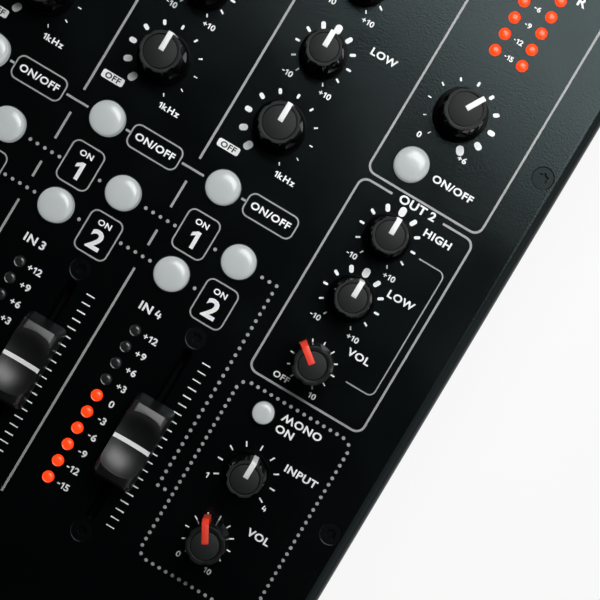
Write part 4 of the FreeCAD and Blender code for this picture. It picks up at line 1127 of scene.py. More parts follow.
def flat_arc(ink, centre, radius, start, sweep, width):
    """Part of a ring of ink, from an angle through another in degrees."""
    turn = math.radians(start)
    middle = Vector((centre[0] * MM, centre[1] * MM, 0))
    way = Vector((math.cos(turn), math.sin(turn), 0))
    ends = [ink.verts.new(middle + way * (radius + side * width / 2) * MM) for side in (-1, 1)]
    line = ink.edges.new(ends)
    degrees_in_step = 12
    bmesh.ops.spin(
        ink, geom=ends + [line], cent=middle, axis=(0, 0, 1), angle=math.radians(sweep),
        steps=max(6, int(sweep / degrees_in_step)), use_merge=sweep >= 360
    )


def flat_dot(ink, x, y, diameter):
    """Round dot of ink."""
    place = Matrix.Translation((x * MM, y * MM, 0))
    bmesh.ops.create_circle(ink, cap_ends=True, segments=14, radius=diameter / 2 * MM, matrix=place)


def flat_box(ink, left, low, right, high, radius, width, gap=None):
    """Outline of a box with round corners, and a gap (from, to) in its upper side for a title."""
    runs = [
        ((left + radius, low), (right - radius, low)),
        ((left, low + radius), (left, high - radius)),
        ((right, low + radius), (right, high - radius)),
    ]
    if gap:
        runs.append(((left + radius, high), (gap[0], high)))
        runs.append(((gap[1], high), (right - radius, high)))
    else:
        runs.append(((left + radius, high), (right - radius, high)))
    for start, end in runs:
        flat_bar(ink, start, end, width)
    for x, y, start in (
        (right - radius, high - radius, 0),
        (left + radius, high - radius, 90),
        (left + radius, low + radius, 180),
        (right - radius, low + radius, 270),
    ):
        flat_arc(ink, (x, y), radius, start, 90, width)


def dotted_line(ink, start, end, pitch, diameter):
    """Dots from one point to another, at a pitch that divides the way evenly."""
    (x0, y0), (x1, y1) = start, end
    steps = max(1, round(math.hypot(x1 - x0, y1 - y0) / pitch))
    for step in range(steps + 1):
        along = step / steps
        flat_dot(ink, x0 + (x1 - x0) * along, y0 + (y1 - y0) * along, diameter)


def dotted_box(ink, left, low, right, high, radius, pitch, diameter):
    """Dotted outline of a box with round corners."""
    dotted_line(ink, (left + radius, high), (right - radius, high), pitch, diameter)
    dotted_line(ink, (left + radius, low), (right - radius, low), pitch, diameter)
    dotted_line(ink, (left, low + radius), (left, high - radius), pitch, diameter)
    dotted_line(ink, (right, low + radius), (right, high - radius), pitch, diameter)
    inset = radius * (1 - math.sqrt(0.5))
    for x in (left + inset, right - inset):
        for y in (low + inset, high - inset):
            flat_dot(ink, x, y, diameter)


def glyph(settings, letters):
    """Mesh of a word or of one figure, a unit high about the ground line's middle.

    The font's own 1, 4 and signs are too plain or too closed for small print, so they have outlines here.
    Its M has crossing strokes, so a first M is a W turned over.
    """
    if letters in FIGURE_OUTLINES:
        drawn = bmesh.new()
        drawn.faces.new([drawn.verts.new((x, y, 0)) for x, y in FIGURE_OUTLINES[letters]])
        mesh = bpy.data.meshes.new("figure")
        drawn.to_mesh(mesh)
        drawn.free()
        return mesh
    curve = bpy.data.curves.new("word", "FONT")
    curve.body = letters.replace("M", "W")
    curve.offset = settings.weight
    curve.resolution_u = 3
    curve.space_character = 1.1
    holder = bpy.data.objects.new("word", curve)
    mesh = bpy.data.meshes.new_from_object(holder)
    bpy.data.objects.remove(holder)
    bpy.data.curves.remove(curve)
    scale = 1 / CAPITAL_SHARE
    mesh.transform(Matrix.Diagonal((scale * settings.stretch, scale, 1, 1)))
    mesh.transform(Matrix.Translation((0, -0.5, 0)))
    if letters[0] == "M":
        turned = glyph(settings, "W")
        edge = max(vert.co.x for vert in turned.vertices)
        bpy.data.meshes.remove(turned)
        for vert in mesh.vertices:
            if vert.co.x <= edge:
                vert.co.y = -vert.co.y
    return mesh


def flat_word(ink, settings, word, x, y, capital, left=False):
    """Words and numbers of ink about a point, or to the right of it, with capitals of a height."""
    row = []
    for part in word.split():
        space = settings.word_space if row else 0.0
        for letters in part if part[0] in "+-0123456789" else (part,):
            mesh = glyph(settings, letters)
            across = [vert.co.x for vert in mesh.vertices]
            row.append((mesh, space, min(across), max(across) - min(across)))
            space = settings.figure_space
    reach = 0.0 if left else -sum(space + width for mesh, space, low, width in row) / 2
    size = capital * MM
    for mesh, space, low, width in row:
        reach += space
        mesh.transform(
            Matrix.Translation((x * MM, y * MM, 0))
            @ Matrix.Diagonal((size, size, 1, 1))
            @ Matrix.Translation((reach - low, 0, 0))
        )
        ink.from_mesh(mesh)
        bpy.data.meshes.remove(mesh)
        reach += width


def dial(ink, x, y, radius, marks):
    """Marks about a knob's axis: each is a clockwise angle from the rear, a length and a width."""
    for angle, along, width in marks:
        turn = math.radians(angle)
        start, end = (
            (x + math.sin(turn) * reach, y + math.cos(turn) * reach)
            for reach in (radius - along / 2, radius + along / 2)
        )
        flat_bar(ink, start, end, width, HALF_ROUND if width > ROUND_FROM else 0.0)


def centre_marks():
    """Marks that are widest at the middle of the range and narrow towards its ends."""
    sizes = ((3.25, 2.35), (2.6, 1.5), (2.05, 1.0), (1.75, 0.76), (1.5, 0.6), (1.2, 0.45))
    return [(angle, *sizes[abs(angle) // SCALE_ANGLES.step]) for angle in SCALE_ANGLES]


def rising_marks(rising):
    """Marks that widen from one end of the range to the other."""
    (short, thin), (longer, wider) = (1.1, 0.32), (2.2, 2.18)
    marks = []
    for step, angle in enumerate(SCALE_ANGLES):
        along = step / (len(SCALE_ANGLES) - 1)
        growth = (along if rising else 1 - along) ** 2
        marks.append((angle, short + longer * growth, thin + wider * growth))
    return marks


def even_marks(reach=150, along=1.7, width=0.46):
    """Equal thin marks up to a reach on both sides."""
    return [(angle, along, width) for angle in SCALE_ANGLES if abs(angle) <= reach]


def raise_ink(ink, thickness):
    """Give flat ink its thickness, with its foot just inside what it is printed on."""
    pull(ink, ink.faces[:], (0, 0, 2 * thickness))
    bmesh.ops.translate(ink, vec=(0, 0, -thickness), verts=ink.verts)


def print_scale(white, size, axis, scale, marks):
    """Marks about a knob's axis, with the scale's words."""
    radius, words = scale
    dial(white, axis.x, axis.y, radius, marks)
    for word, across, along, capital in words:
        flat_word(white, size, word, axis.x + across, axis.y + along, capital)


def figure_box(white, grey, size, x, y, figure, title=""):
    """Box round a large figure, which stands lower where it has a title."""
    across, upward = FIGURE_BOX
    flat_box(grey, x - across, y - upward, x + across, y + upward, BOX_CORNER, size.label_line / MM)
    if title:
        flat_word(white, size, title, x, y + 3.9, 1.8)
    flat_word(white, size, figure, x, y - 1.75 if title else y, 6.0)


def meter_figures(white, size, x, y, capital):
    """Figures beside a meter's lamps, from the first one."""
    for step, figure in enumerate(METER_FIGURES):
        flat_word(white, size, figure, x, y - LAMP_PITCH * step, capital)


def print_filter(white, grey, size, left, y):
    """Label of a strip's filter button, and the line that the button stands on."""
    flat_box(grey, left + 19.46, y - 4.1, left + 37.46, y + 3.8, BOX_CORNER, size.label_line / MM)
    flat_word(white, size, "ON/OFF", left + 28.4, y + 0.05, 2.25)
    for start, end in ((17.6, 19.5), (-4.5, 3.6)):
        flat_bar(grey, (left + start, y), (left + end, y), size.line / MM)


def print_border(grey, size, left, filter_y, cue_a, cue_b, fader_y):
    """Line between a strip and the one to its left, broken where other lines cross it."""
    for y, start, end in ((cue_a + BUS_A, -7.06, 3.79), (cue_b + BUS_B, -8.18, 2.70)):
        dotted_line(grey, (left + start, y), (left + end, y), DOT_PITCH, size.dot / MM)
    x = left - 0.4
    for low, high in (
        (filter_y + 4.0, panel_high.y / MM - COLUMN_REAR),
        (cue_a + 3.86, filter_y - 4.2),
        (cue_b + 4.05, cue_a - 4.49),
        (fader_y - 38, cue_b - 4.3),
    ):
        flat_bar(grey, (x, low), (x, high), 0.8)


def print_tones(white, black, size, number):
    """Scales and titles of a strip's knobs."""
    sweep = axis_of(f"sweep_knob_{number}") / MM
    print_scale(white, size, sweep, SWEEP_SCALE, rising_marks(False))
    y = sweep.y - 13.72
    flat_bar(white, (sweep.x - 14.8, y), (sweep.x - 7.0, y), width=2.75, rounding=0.25)
    flat_word(black, size, "OFF", sweep.x - 10.9, y, 1.8)
    for word, title in (("bass", "LOW"), ("middle", "MID"), ("treble", "HIGH")):
        axis = axis_of(f"{word}_knob_{number}") / MM
        print_scale(white, size, axis, TONE_SCALE, centre_marks())
        flat_word(white, size, title, axis.x + 12.6, axis.y + 9.2, 2.3, left=True)
    gain = axis_of(f"gain_knob_{number}") / MM
    print_scale(white, size, gain, GAIN_SCALE, even_marks())
    flat_word(white, size, "GAIN", gain.x + 9.4, gain.y + 9.2, 2.3, left=True)


def print_strip(white, grey, black, size, number):
    """Print of one channel strip."""
    left = strip_left(number)
    fader_y = slot_middle(f"fader_{number}").y / MM
    filter_y = place_of(f"filter_button_{number}").y / MM
    cue_a = place_of(f"cue_a_button_{number}").y / MM
    cue_b = place_of(f"cue_b_button_{number}").y / MM
    print_filter(white, grey, size, left, filter_y)
    figure_box(white, grey, size, left + 11.03, cue_a + 0.57, "1", "ON")
    figure_box(white, grey, size, left + 27.43, cue_b - 1.33, "2", "ON")
    flat_dot(grey, left + 18.74, cue_a - 0.42, size.dot / MM)
    flat_dot(grey, left + 19.43, cue_b - 0.14, size.dot / MM)
    if number > 1:
        print_border(grey, size, left, filter_y, cue_a, cue_b, fader_y)
    flat_word(white, size, f"IN {number}", left + 11.0, fader_y + 35.95, 2.65)
    meter_figures(white, size, left + 15.7, fader_y + 27.9, 2.15)
    for along in range(-30, 31, 3):
        y = fader_y + along
        flat_bar(white, (left + 33.73, y), (left + 36.73, y), size.tick / MM)
    print_tones(white, black, size, number)


def print_phones(white, grey, size, letter):
    """Print about the headphone controls of one side."""
    source = axis_of(f"source_knob_{letter}") / MM
    level = axis_of(f"phones_level_knob_{letter}") / MM
    split = place_of(f"split_cue_button_{letter}") / MM
    left = column_left(f"source_knob_{letter}")
    dotted_box(
        grey, left, level.y - 16.0, left + 41.2, split.y + 6.15, radius=3.5, pitch=BOX_DOT_PITCH,
        diameter=size.dot / MM
    )
    print_scale(white, size, source, SOURCE_SCALE, even_marks(reach=120, along=1.8, width=0.5))
    print_scale(white, size, level, PHONES_SCALE, even_marks())
    for word, x, y, capital in (
        ("MONO", left + 17.4, split.y + 2.2, 2.4),
        ("ON", left + 17.4, split.y - 1.9, 2.4),
        ("INPUT", left + 26.6, source.y + 8.2, 2.35),
        ("VOL", left + 26.6, level.y + 8.6, 2.35),
    ):
        flat_word(white, size, word, x, y, capital, left=True)


def print_meter(white, size, column):
    """Numbers between the two rows of lamps at the rear of a column, and a letter at each side."""
    rear = panel_high.y / MM - METER_REAR
    meter_figures(white, size, column + COLUMN_WIDTH / 2, rear, 1.6)
    for x, letter in ((column + 9.6, "L"), (column + 32.0, "R")):
        flat_word(white, size, letter, x, rear - 27.2, 2.9)


def print_columns(white, grey, size):
    """Boxes, titles and meters of the two side columns."""
    low = axis_of("booth_level_knob").y / MM - 11.6
    high = axis_of("booth_treble_knob").y / MM + 12.8
    rear = panel_high.y / MM - COLUMN_REAR
    for node, lower, upper in (("booth_level_knob", "OUT 2", "OUT 1"), ("source_knob_b", "MIC", "METER")):
        column = column_left(node)
        gap = [column + end for end in TITLE_GAP]
        for foot, head, title, rise in ((low, high, lower, 0.2), (high + 2.4, rear, upper, 0.0)):
            flat_box(grey, column, foot, column + COLUMN_WIDTH, head, COLUMN_CORNER, size.line / MM, gap)
            flat_word(white, size, title, column + 20.4, head + rise, 2.65)
        print_meter(white, size, column)


def print_booth(white, grey, size):
    """Scales of the second output's and the microphone's knobs, and the bracket beside the former."""
    treble, bass, level = (axis_of(f"booth_{word}_knob") / MM for word in ("treble", "bass", "level"))
    for axis, title in ((treble, "HIGH"), (bass, "LOW")):
        print_scale(white, size, axis, TONE_SCALE, centre_marks())
        flat_word(white, size, title, axis.x + 14.1, axis.y + 7.6, 2.35)
    shift = Vector((0.15, 0, 0))
    for node, across in (("booth_level_knob", 11.7), ("mic_level_knob", 15.0)):
        axis = axis_of(node) / MM
        print_scale(white, size, axis + shift, VOLUME_SCALE, even_marks())
        flat_word(white, size, "VOL", axis.x + across, axis.y + 9.5, 2.35)
    start = column_left("booth_level_knob") + 29.1
    turn = start + 7.5
    corner = 2.2
    high, low = treble.y - 0.7, level.y + 0.6
    thin = size.thin_line / MM
    flat_bar(grey, (start, high), (turn, high), thin)
    flat_arc(grey, (turn, high - corner), corner, 0, 90, thin)
    flat_bar(grey, (turn + corner, high - corner), (turn + corner, low + corner), thin)
    flat_arc(grey, (turn, low + corner), corner, 270, 90, thin)
    flat_bar(grey, (start, low), (turn, low), thin)


def print_mix(white, size):
    """Scale of the mix level's knob, and the label of the button in front of it."""
    print_scale(white, size, axis_of("mix_level_knob") / MM, MIX_SCALE, rising_marks(True))
    button = place_of("eq_on_button") / MM
    label = column_left("booth_level_knob") + 19.6
    flat_word(white, size, "ON/OFF", label, button.y, 2.3, left=True)


def print_crossfader(white, grey, size):
    """Ticks on both sides of the crossfader, and the boxes at its ends."""
    cross = slot_middle("crossfader") / MM
    for step in range(-10, 11):
        x = cross.x + 2.25 * step
        near, far = 8.5, 11.0 if step % 5 == 0 else 10.0
        for side in (-1, 1):
            flat_bar(white, (x, cross.y + side * near), (x, cross.y + side * far), size.tick / MM)
    for side, figure in ((-1, "1"), (1, "2")):
        figure_box(white, grey, size, cross.x + side * 45.0, cross.y, figure)


def print_buses(grey, size):
    """Dotted lines that lead from the strips to the headphone controls."""
    dot = size.dot / MM
    foot = axis_of("source_knob_a").y / MM - 17.5
    start, corner = (strip_left(4) + across for across in (36.2, 41.6))
    bus = place_of("cue_a_button_4").y / MM + BUS_A
    dotted_line(grey, (start, bus), (corner, bus), DOT_PITCH, dot)
    dotted_line(grey, (corner, bus - 2.8), (corner, foot), UPRIGHT_DOT_PITCH, dot)
    flat_dot(grey, corner + 2.6, foot, dot)
    start, corner = (strip_left(1) + across for across in (2.7, -0.6))
    bus = place_of("cue_b_button_1").y / MM + BUS_B
    dotted_line(grey, (start, bus), (corner, bus), DOT_PITCH, dot)
    dotted_line(grey, (corner, bus - 2.6), (corner, foot), UPRIGHT_DOT_PITCH, dot)


def print_plates(size):
    """Raised words of the rear and front plates, in their places."""
    rear = socket_level() + size.plate_rise
    words = [(f"IN {number}", on_rear(input_middle(number), rear)) for number in strip_numbers]
    words.append(("ON/OFF", on_rear(place_of("power_switch").x, rear)))
    for opening in openings("xlr"):
        side = "L" if opening["name"].endswith("left") else "R"
        words.append((f"OUT {side}", on_rear(opening_middle(opening), rear)))
    for mount in jack_mounts():
        word = {"phones_jack_a": "2", "phones_jack_b": "1"}.get(mount["name"], "MIC")
        words.append((word, on_front(mount["pos_m"][0], socket_level() + size.jack_rise)))
    every = bmesh.new()
    for word, place in words:
        ink = bmesh.new()
        flat_word(ink, size, word, 0, 0, size.plate_capital / MM)
        raise_ink(ink, size.thickness)
        add(every, ink, place)
        ink.free()
    return every


def ink_finish(name, tint):
    """Material of printed ink."""
    return finish(name, tint, rough=0.55, grain=2500, depth=0.01, patch=300, spread=0.06, rub=0.15)


class MIXER_OT_print(bpy.types.Operator):
    """Print the scales, boxes, dotted lines and generic words on the panel, and words on the plates"""

    bl_idname = "mixer.print"
    bl_label = "Panel print"

    def execute(self, context):
        paint = context.scene.mixer_colours
        size = context.scene.mixer_print
        white, grey, black = bmesh.new(), bmesh.new(), bmesh.new()
        for number in strip_numbers:
            print_strip(white, grey, black, size, number)
        for letter in ("a", "b"):
            print_phones(white, grey, size, letter)
        print_columns(white, grey, size)
        print_booth(white, grey, size)
        print_mix(white, size)
        print_buses(grey, size)
        print_crossfader(white, grey, size)
        face = Matrix.Translation((0, 0, panel_top))
        over_white = 1.6
        for name, ink, tint, slot, layers in (
            ("panel_words", white, paint.white_ink, "print_white", 1.0),
            ("panel_lines", grey, paint.grey_ink, "print_grey", 1.0),
            ("panel_reversed_words", black, paint.coat, "panel_coat", over_white),
        ):
            raise_ink(ink, layers * size.thickness)
            piece(name, ink, ink_finish(name, tint), CHASSIS, face)
            ink.free()
        plate_ink = ink_finish("plate_ink", paint.white_ink)
        piece("plate_words", print_plates(size), plate_ink, CHASSIS)
        return {"FINISHED"}


# Rear and front

def on_rear(x, z):
    """Place on the rear plate: seen from behind, X is to the right, Y is up and Z is outwards."""
    turn = Matrix(((-1, 0, 0), (0, 0, 1), (0, 1, 0))).to_4x4()
    return Matrix.Translation((x, tray_high.y, z)) @ turn


def on_front(x, z):
    """Place on the front plate: seen from the front, X is to the right, Y is up and Z is outwards."""
    turn = Matrix(((1, 0, 0), (0, 0, -1), (0, 1, 0))).to_4x4()
    return Matrix.Translation((x, tray_low.y, z)) @ turn


def input_middle(number):
    """Where a channel's block of phono sockets stands across the rear plate."""
    return slot_middle(f"fader_{number}").x - INPUT_SHIFT * MM


def socket_level():
    """Height of the sockets' middles."""
    return frame["record"]["mounts"][0]["pos_m"][2]


def openings(start):
    """Openings of the record whose names have a start."""
    return [item for item in frame["record"]["physics"]["openings"] if item["name"].startswith(start)]


def jack_mounts():
    """Mounts of the record that are front jacks."""
    return [mount for mount in frame["record"]["mounts"] if mount["kind"] == "bore"]


def opening_middle(opening):
    """Where an opening of the record stands across its plate."""
    low, high = opening["box_m"]
    return (low[0] + high[0]) / 2


def plate(width, height, thickness, corner, edge):
    """Flat plate on the wall, with round corners and softened outer edges."""
    shell = slab(width, height, 0, thickness)
    bevel(shell, [line for line in shell.edges if is_upright(line)], corner, segments=6)
    rim = [line for line in shell.edges if all(vert.co.z > thickness - NEAR for vert in line.verts)]
    bevel(shell, rim, edge, segments=2)
    return shell


def pan_screw(radius, rise):
    """Small round head screw with a cross recess, standing on a plate at nought."""
    shank, foot, seat = radius / 2, -3 * MM, -0.05 * MM
    head = revolve(
        ((0, foot), (shank, foot), (shank, seat), (radius, seat), (radius, rise), (0, rise)), segments=32
    )
    round_rings(head, ((radius, rise),), 0.7 * rise, segments=4)
    arm, slit = 1.3 * radius, 0.3 * radius
    for across, upward in ((arm, slit), (slit, arm)):
        head = cut(head, block((across, upward, rise), (0, 0, rise)))
    return head


def xlr_shell(size):
    """Output socket: flange with round corners, and a deep round well."""
    face = size.xlr_flange[2]
    (body, depth), (well, well_depth) = size.xlr_body, size.xlr_well
    shell = cut(plate(*size.xlr_flange), peg(body, face - depth, face / 4, segments=72), "UNION")
    return cut(shell, peg(well, face - well_depth, 2 * face, segments=72))


def xlr_pins(size):
    """Three contact pins with rounded tips, on a circle in the well."""
    radius, along = size.xlr_pin
    floor = size.xlr_flange[2] - size.xlr_well[1]
    pin = peg(radius, floor - 0.2 * MM, floor + along, segments=20)
    round_rings(pin, ((radius, floor + along),), 0.8 * radius, segments=4)
    pins = bmesh.new()
    for angle in (90, 210, 330):
        way = Vector((math.cos(math.radians(angle)), math.sin(math.radians(angle)), 0))
        add(pins, pin, Matrix.Translation(way * size.xlr_circle))
    return pins


def phono_sleeve(size):
    """Outer contact: a plated tube with a rounded end."""
    outer, inner = size.phono_radii
    foot, end = -size.phono_foot, size.phono_reach
    sleeve = revolve(((inner, foot), (outer, foot), (outer, end), (inner, end), (inner, foot)), segments=40)
    round_rings(sleeve, ((outer, end),), size.phono_edge)
    return sleeve


def phono_insulator(size):
    """Coloured plastic that fills the sleeve, with the hole for the plug's pin."""
    overlap = 0.02 * MM
    outer = size.phono_radii[1] + overlap
    bore, depth = size.phono_bore
    foot, top = -size.phono_foot, size.phono_reach - size.phono_recess
    floor = top - depth
    return revolve(
        ((0, foot), (outer, foot), (outer, top), (bore, top), (bore, floor), (0, floor)), segments=36
    )


def jack_bezel(size):
    """Front jack's ring with six flats, and the bore behind it."""
    (radius, rise), (nose, depth), (bore, bore_depth) = size.jack_ring, size.jack_nose, size.jack_bore
    ring = bmesh.new()
    rod(ring, radius, rise, 6, Matrix.Translation((0, 0, rise / 2)))
    rim, crown, edge, below = 0.97 * radius, 0.84 * radius, 0.4 * MM, -24 * MM
    turned = revolve(
        ((0, below), (nose, below), (nose, 0), (rim, 0), (rim, edge), (crown, rise), (0, rise)), segments=48
    )
    ring = cut(ring, turned, "INTERSECT")
    round_sharp(ring, 0.12 * MM, limit=30)
    ring = cut(ring, peg(nose, -depth, 0.2 * MM, segments=48), "UNION")
    return cut(ring, peg(bore, -bore_depth, 4 * MM, segments=48))


class MIXER_OT_sockets(bpy.types.Operator):
    """Model the rear outputs and inputs and the front jacks"""

    bl_idname = "mixer.sockets"
    bl_label = "Sockets"

    def execute(self, context):
        paint = context.scene.mixer_colours
        size = context.scene.mixer_sockets
        plastic = finish("socket_moulding", paint.socket, rough=0.42, grain=1500, depth=0.02)
        metal = finish(
            "plated_contact", paint.contact, rough=0.26, grain=800, depth=0.008, spread=0.1, rub=0.2,
            metal=1.0
        )
        level = socket_level()
        shells, contacts, screws = bmesh.new(), bmesh.new(), bmesh.new()
        outlet, pins, screw = xlr_shell(size), xlr_pins(size), pan_screw(*size.screw)
        width, height, face = size.xlr_flange[:3]
        for opening in openings("xlr"):
            place = on_rear(opening_middle(opening), level)
            add(shells, outlet, place)
            add(contacts, pins, place)
            for side in (-1, 1):
                across = side * (width / 2 - size.xlr_screw)
                upward = side * (height / 2 - size.xlr_screw)
                add(screws, screw, place @ Matrix.Translation((across, upward, face)))
        inserts = {1: bmesh.new(), -1: bmesh.new()}
        sleeve, insulator = phono_sleeve(size), phono_insulator(size)
        inside = -size.wall
        width, height, depth = size.backing
        backing = slab(width, height, inside - depth, inside, rounding=0.5 * MM)
        for number in strip_numbers:
            middle = input_middle(number)
            add(shells, backing, on_rear(middle, level))
            for side in (-1, 1):
                for row in (-1, 1):
                    across, upward = size.phono_pitch
                    place = on_rear(middle + side * across / 2, level + row * upward / 2)
                    add(contacts, sleeve, place)
                    add(inserts[row], insulator, place)
        bezel = jack_bezel(size)
        width, depth = size.jack_holder
        hole = peg(size.jack_nose[0], -2 * depth, size.wall, segments=48)
        holder = cut(slab(width, width, inside - depth, inside), hole)
        for mount in jack_mounts():
            place = on_front(mount["pos_m"][0], mount["pos_m"][2])
            add(contacts, bezel, place)
            add(shells, holder, place)
        made = piece("socket_shells", shells, plastic, CHASSIS)
        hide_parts("audio_sockets")
        piece("socket_contacts", contacts, metal, CHASSIS)
        piece("socket_screws", screws, metal, CHASSIS)
        for row, word, tint in ((1, "upper", paint.white_insert), (-1, "lower", paint.red_insert)):
            tinted = finish(
                f"phono_{word}_plastic", tint, rough=0.4, grain=1500, depth=0.01, spread=0.06, rub=0.1
            )
            piece(f"phono_{word}_inserts", inserts[row], tinted, CHASSIS)
        return {"FINISHED"}


def inlet_shell(size):
    """Mains inlet: flange and a deep well whose two upper corners are cut off."""
    face = size.inlet_flange[2]
    wall, depth = size.inlet_body
    width, height, well_depth = size.inlet_well
    body = slab(width + 2 * wall, height + 2 * wall, -depth, face / 2)
    well = slab(width, height, -well_depth, 2 * face)
    upper = [line for line in well.edges if is_upright(line) and line.verts[0].co.y > 0]
    bevel(well, upper, size.well_corner, segments=1)
    return cut(cut(plate(*size.inlet_flange), body, "UNION"), well)


def switch_surround():
    """Rocker switch's frame: flange and the well that the rocker stands in."""
    face, depth = 1.8 * MM, 9.0 * MM
    flange = plate(width=17.4 * MM, height=23.4 * MM, thickness=face, corner=1.2 * MM, edge=0.5 * MM)
    body = slab(width=15.2 * MM, height=21.2 * MM, low=-14.5 * MM, high=0.5 * MM)
    well = block((10.8 * MM, 16.8 * MM, depth), (0, 0, face - depth / 2))
    return cut(cut(flange, body, "UNION"), well)


def rocker_marks(size):
    """A line on the rocker's upper face and a ring on its lower one, in their places."""
    upper, lower, marks = bmesh.new(), bmesh.new(), bmesh.new()
    along, width = (value / MM for value in size.mark_bar)
    flat_bar(upper, (0, -along / 2), (0, along / 2), width)
    radius, width = (value / MM for value in size.mark_ring)
    flat_arc(lower, (0, 0), radius, 0, 360, width)
    pivot = Vector(joints[body_of("power_switch")]["pos_m"])
    lean = size.rocker_lean
    crease = pivot + Vector((0, math.cos(lean / 2), math.sin(lean / 2))) * size.rocker_face
    face = Matrix.Translation((0, -tray_high.y, 0)) @ on_rear(0, 0)
    for mark, turn, along in ((upper, 0.0, size.mark_rise), (lower, lean, -size.mark_rise)):
        raise_ink(mark, size.mark_thickness)
        spot = Matrix.Translation(crease) @ Matrix.Rotation(turn, 4, "X")
        add(marks, mark, spot @ Matrix.Translation((0, 0, along)) @ face)
    return marks


class MIXER_OT_power(bpy.types.Operator):
    """Model the mains inlet with its blades, the switch's frame and the marks on its rocker"""

    bl_idname = "mixer.power"
    bl_label = "Mains inlet and switch"

    def execute(self, context):
        paint = context.scene.mixer_colours
        size = context.scene.mixer_mains
        plastic = finish("inlet_moulding", paint.socket, rough=0.4, grain=1500, depth=0.02)
        metal = finish(
            "blade_metal", paint.contact, rough=0.3, grain=800, depth=0.008, spread=0.1, rub=0.2, metal=1.0
        )
        rocker = finish("rocker_moulding", paint.socket, rough=0.22, grain=1200, depth=0.008, rub=0.2)
        ink = finish(
            "rocker_ink", paint.white_ink, rough=0.5, grain=2500, depth=0.01, spread=0.05, rub=0.1
        )
        level = socket_level()
        place = on_rear(opening_middle(openings("mains_inlet_well")[0]), level)
        shells, blades = bmesh.new(), bmesh.new()
        add(shells, inlet_shell(size), place)
        add(shells, switch_surround(), on_rear(place_of("power_switch").x, level))
        made = piece("inlet_and_switch_frame", shells, plastic, CHASSIS)
        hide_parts("mains_inlet")
        foot, tip = size.blade_ends
        blade = slab(*size.blade, -foot, -tip, size.blade_edge)
        across, upward = size.blade_shift
        for x, y in ((-across, -upward), (0, upward), (across, -upward)):
            add(blades, blade, place @ Matrix.Translation((x, y, 0)))
        piece("inlet_blades", blades, metal, CHASSIS, sharp=40)
        dress("power_switch", rocker)
        piece("rocker_marks", rocker_marks(size), ink, body_of("power_switch"))
        return {"FINISHED"}


class MIXER_OT_stage(bpy.types.Operator):
    """Set up the floor, the lights and the camera"""

    bl_idname = "mixer.stage"
    bl_label = "Stage"

    def execute(self, context):
        scene = context.scene
        stage = scene.mixer_stage
        scene.view_settings.view_transform = "Standard"
        ground = bmesh.new()
        bmesh.ops.create_grid(ground, x_segments=2, y_segments=2, size=stage.floor_size)
        mesh = bpy.data.meshes.new("studio_floor")
        ground.to_mesh(mesh)
        ground.free()
        floor = bpy.data.objects.new("studio_floor", mesh)
        scene.collection.objects.link(floor)
        mesh.materials.append(floor_paper(scene.mixer_colours.floor, stage.floor_white))
        studio_room(scene, stage)
        middle = Vector((*stage.aim, panel_top))
        sheen, fill = (0.7, 0.45), (0.7, 0.4)
        for name, watts, size, distance, bearing, lean, unseen in (
            ("key_light", stage.key, (0.16, 0.12), 0.32, 5, 28, "visible_glossy"),
            ("sheen_light", stage.sheen, sheen, 0.9, 14, 29.5, "visible_diffuse"),
            ("side_sheen_light", stage.side_sheen, sheen, 0.9, 92, 29.5, "visible_diffuse"),
            ("edge_sheen_light", stage.edge_sheen, (0.9, 0.5), 0.9, 95, 60, "visible_diffuse"),
            ("rear_fill_light", stage.fill, fill, 1.1, 10, 78, "visible_glossy"),
            ("right_fill_light", stage.fill, fill, 1.1, 100, 78, "visible_glossy"),
            ("front_fill_light", stage.fill, fill, 1.1, 190, 78, "visible_glossy"),
            ("left_fill_light", stage.fill, fill, 1.1, 280, 78, "visible_glossy"),
        ):
            lamp = soft_light(name, watts, size, middle, distance, bearing, lean)
            setattr(lamp, unseen, False)
        camera = bpy.data.objects.new("camera", bpy.data.cameras.new("camera"))
        camera.data.lens = stage.lens
        camera.data.sensor_width = stage.sensor
        camera.location = middle + Vector((0, 0, stage.distance))
        camera.rotation_euler = (0, 0, stage.turn)
        scene.collection.objects.link(camera)
        scene.camera = camera
        return {"FINISHED"}


def seen_by_eye(nodes, links):
    """Value that is one where the camera, a mirror or a clear piece looks, and nought for other light."""
    path = nodes.new("ShaderNodeLightPath")
    either = nodes.new("ShaderNodeMath")
    either.operation = "MAXIMUM"
    every = nodes.new("ShaderNodeMath")
    every.operation = "MAXIMUM"
    links.new(path.outputs["Is Camera Ray"], either.inputs[0])
    links.new(path.outputs["Is Glossy Ray"], either.inputs[1])
    links.new(either.outputs["Value"], every.inputs[0])
    links.new(path.outputs["Is Transmission Ray"], every.inputs[1])
    return every.outputs["Value"]


def floor_paper(tint, white):
    """Pale paper that keeps shadows, and has a share of plain white where it is seen."""
    paper = finish("floor_paper", tint, rough=0.9, grain=200, depth=0.1, spread=0.02, rub=0.0)
    nodes = paper.node_tree.nodes
    links = paper.node_tree.links
    plain = nodes.new("ShaderNodeEmission")
    mixed = nodes.new("ShaderNodeMixShader")
    part = nodes.new("ShaderNodeMath")
    part.operation = "MULTIPLY"
    part.inputs[1].default_value = white
    links.new(seen_by_eye(nodes, links), part.inputs[0])
    links.new(part.outputs["Value"], mixed.inputs["Fac"])
    links.new(principled(paper).outputs["BSDF"], mixed.inputs[1])
    links.new(plain.outputs["Emission"], mixed.inputs[2])
    links.new(mixed.outputs["Shader"], nodes["Material Output"].inputs["Surface"])
    return paper


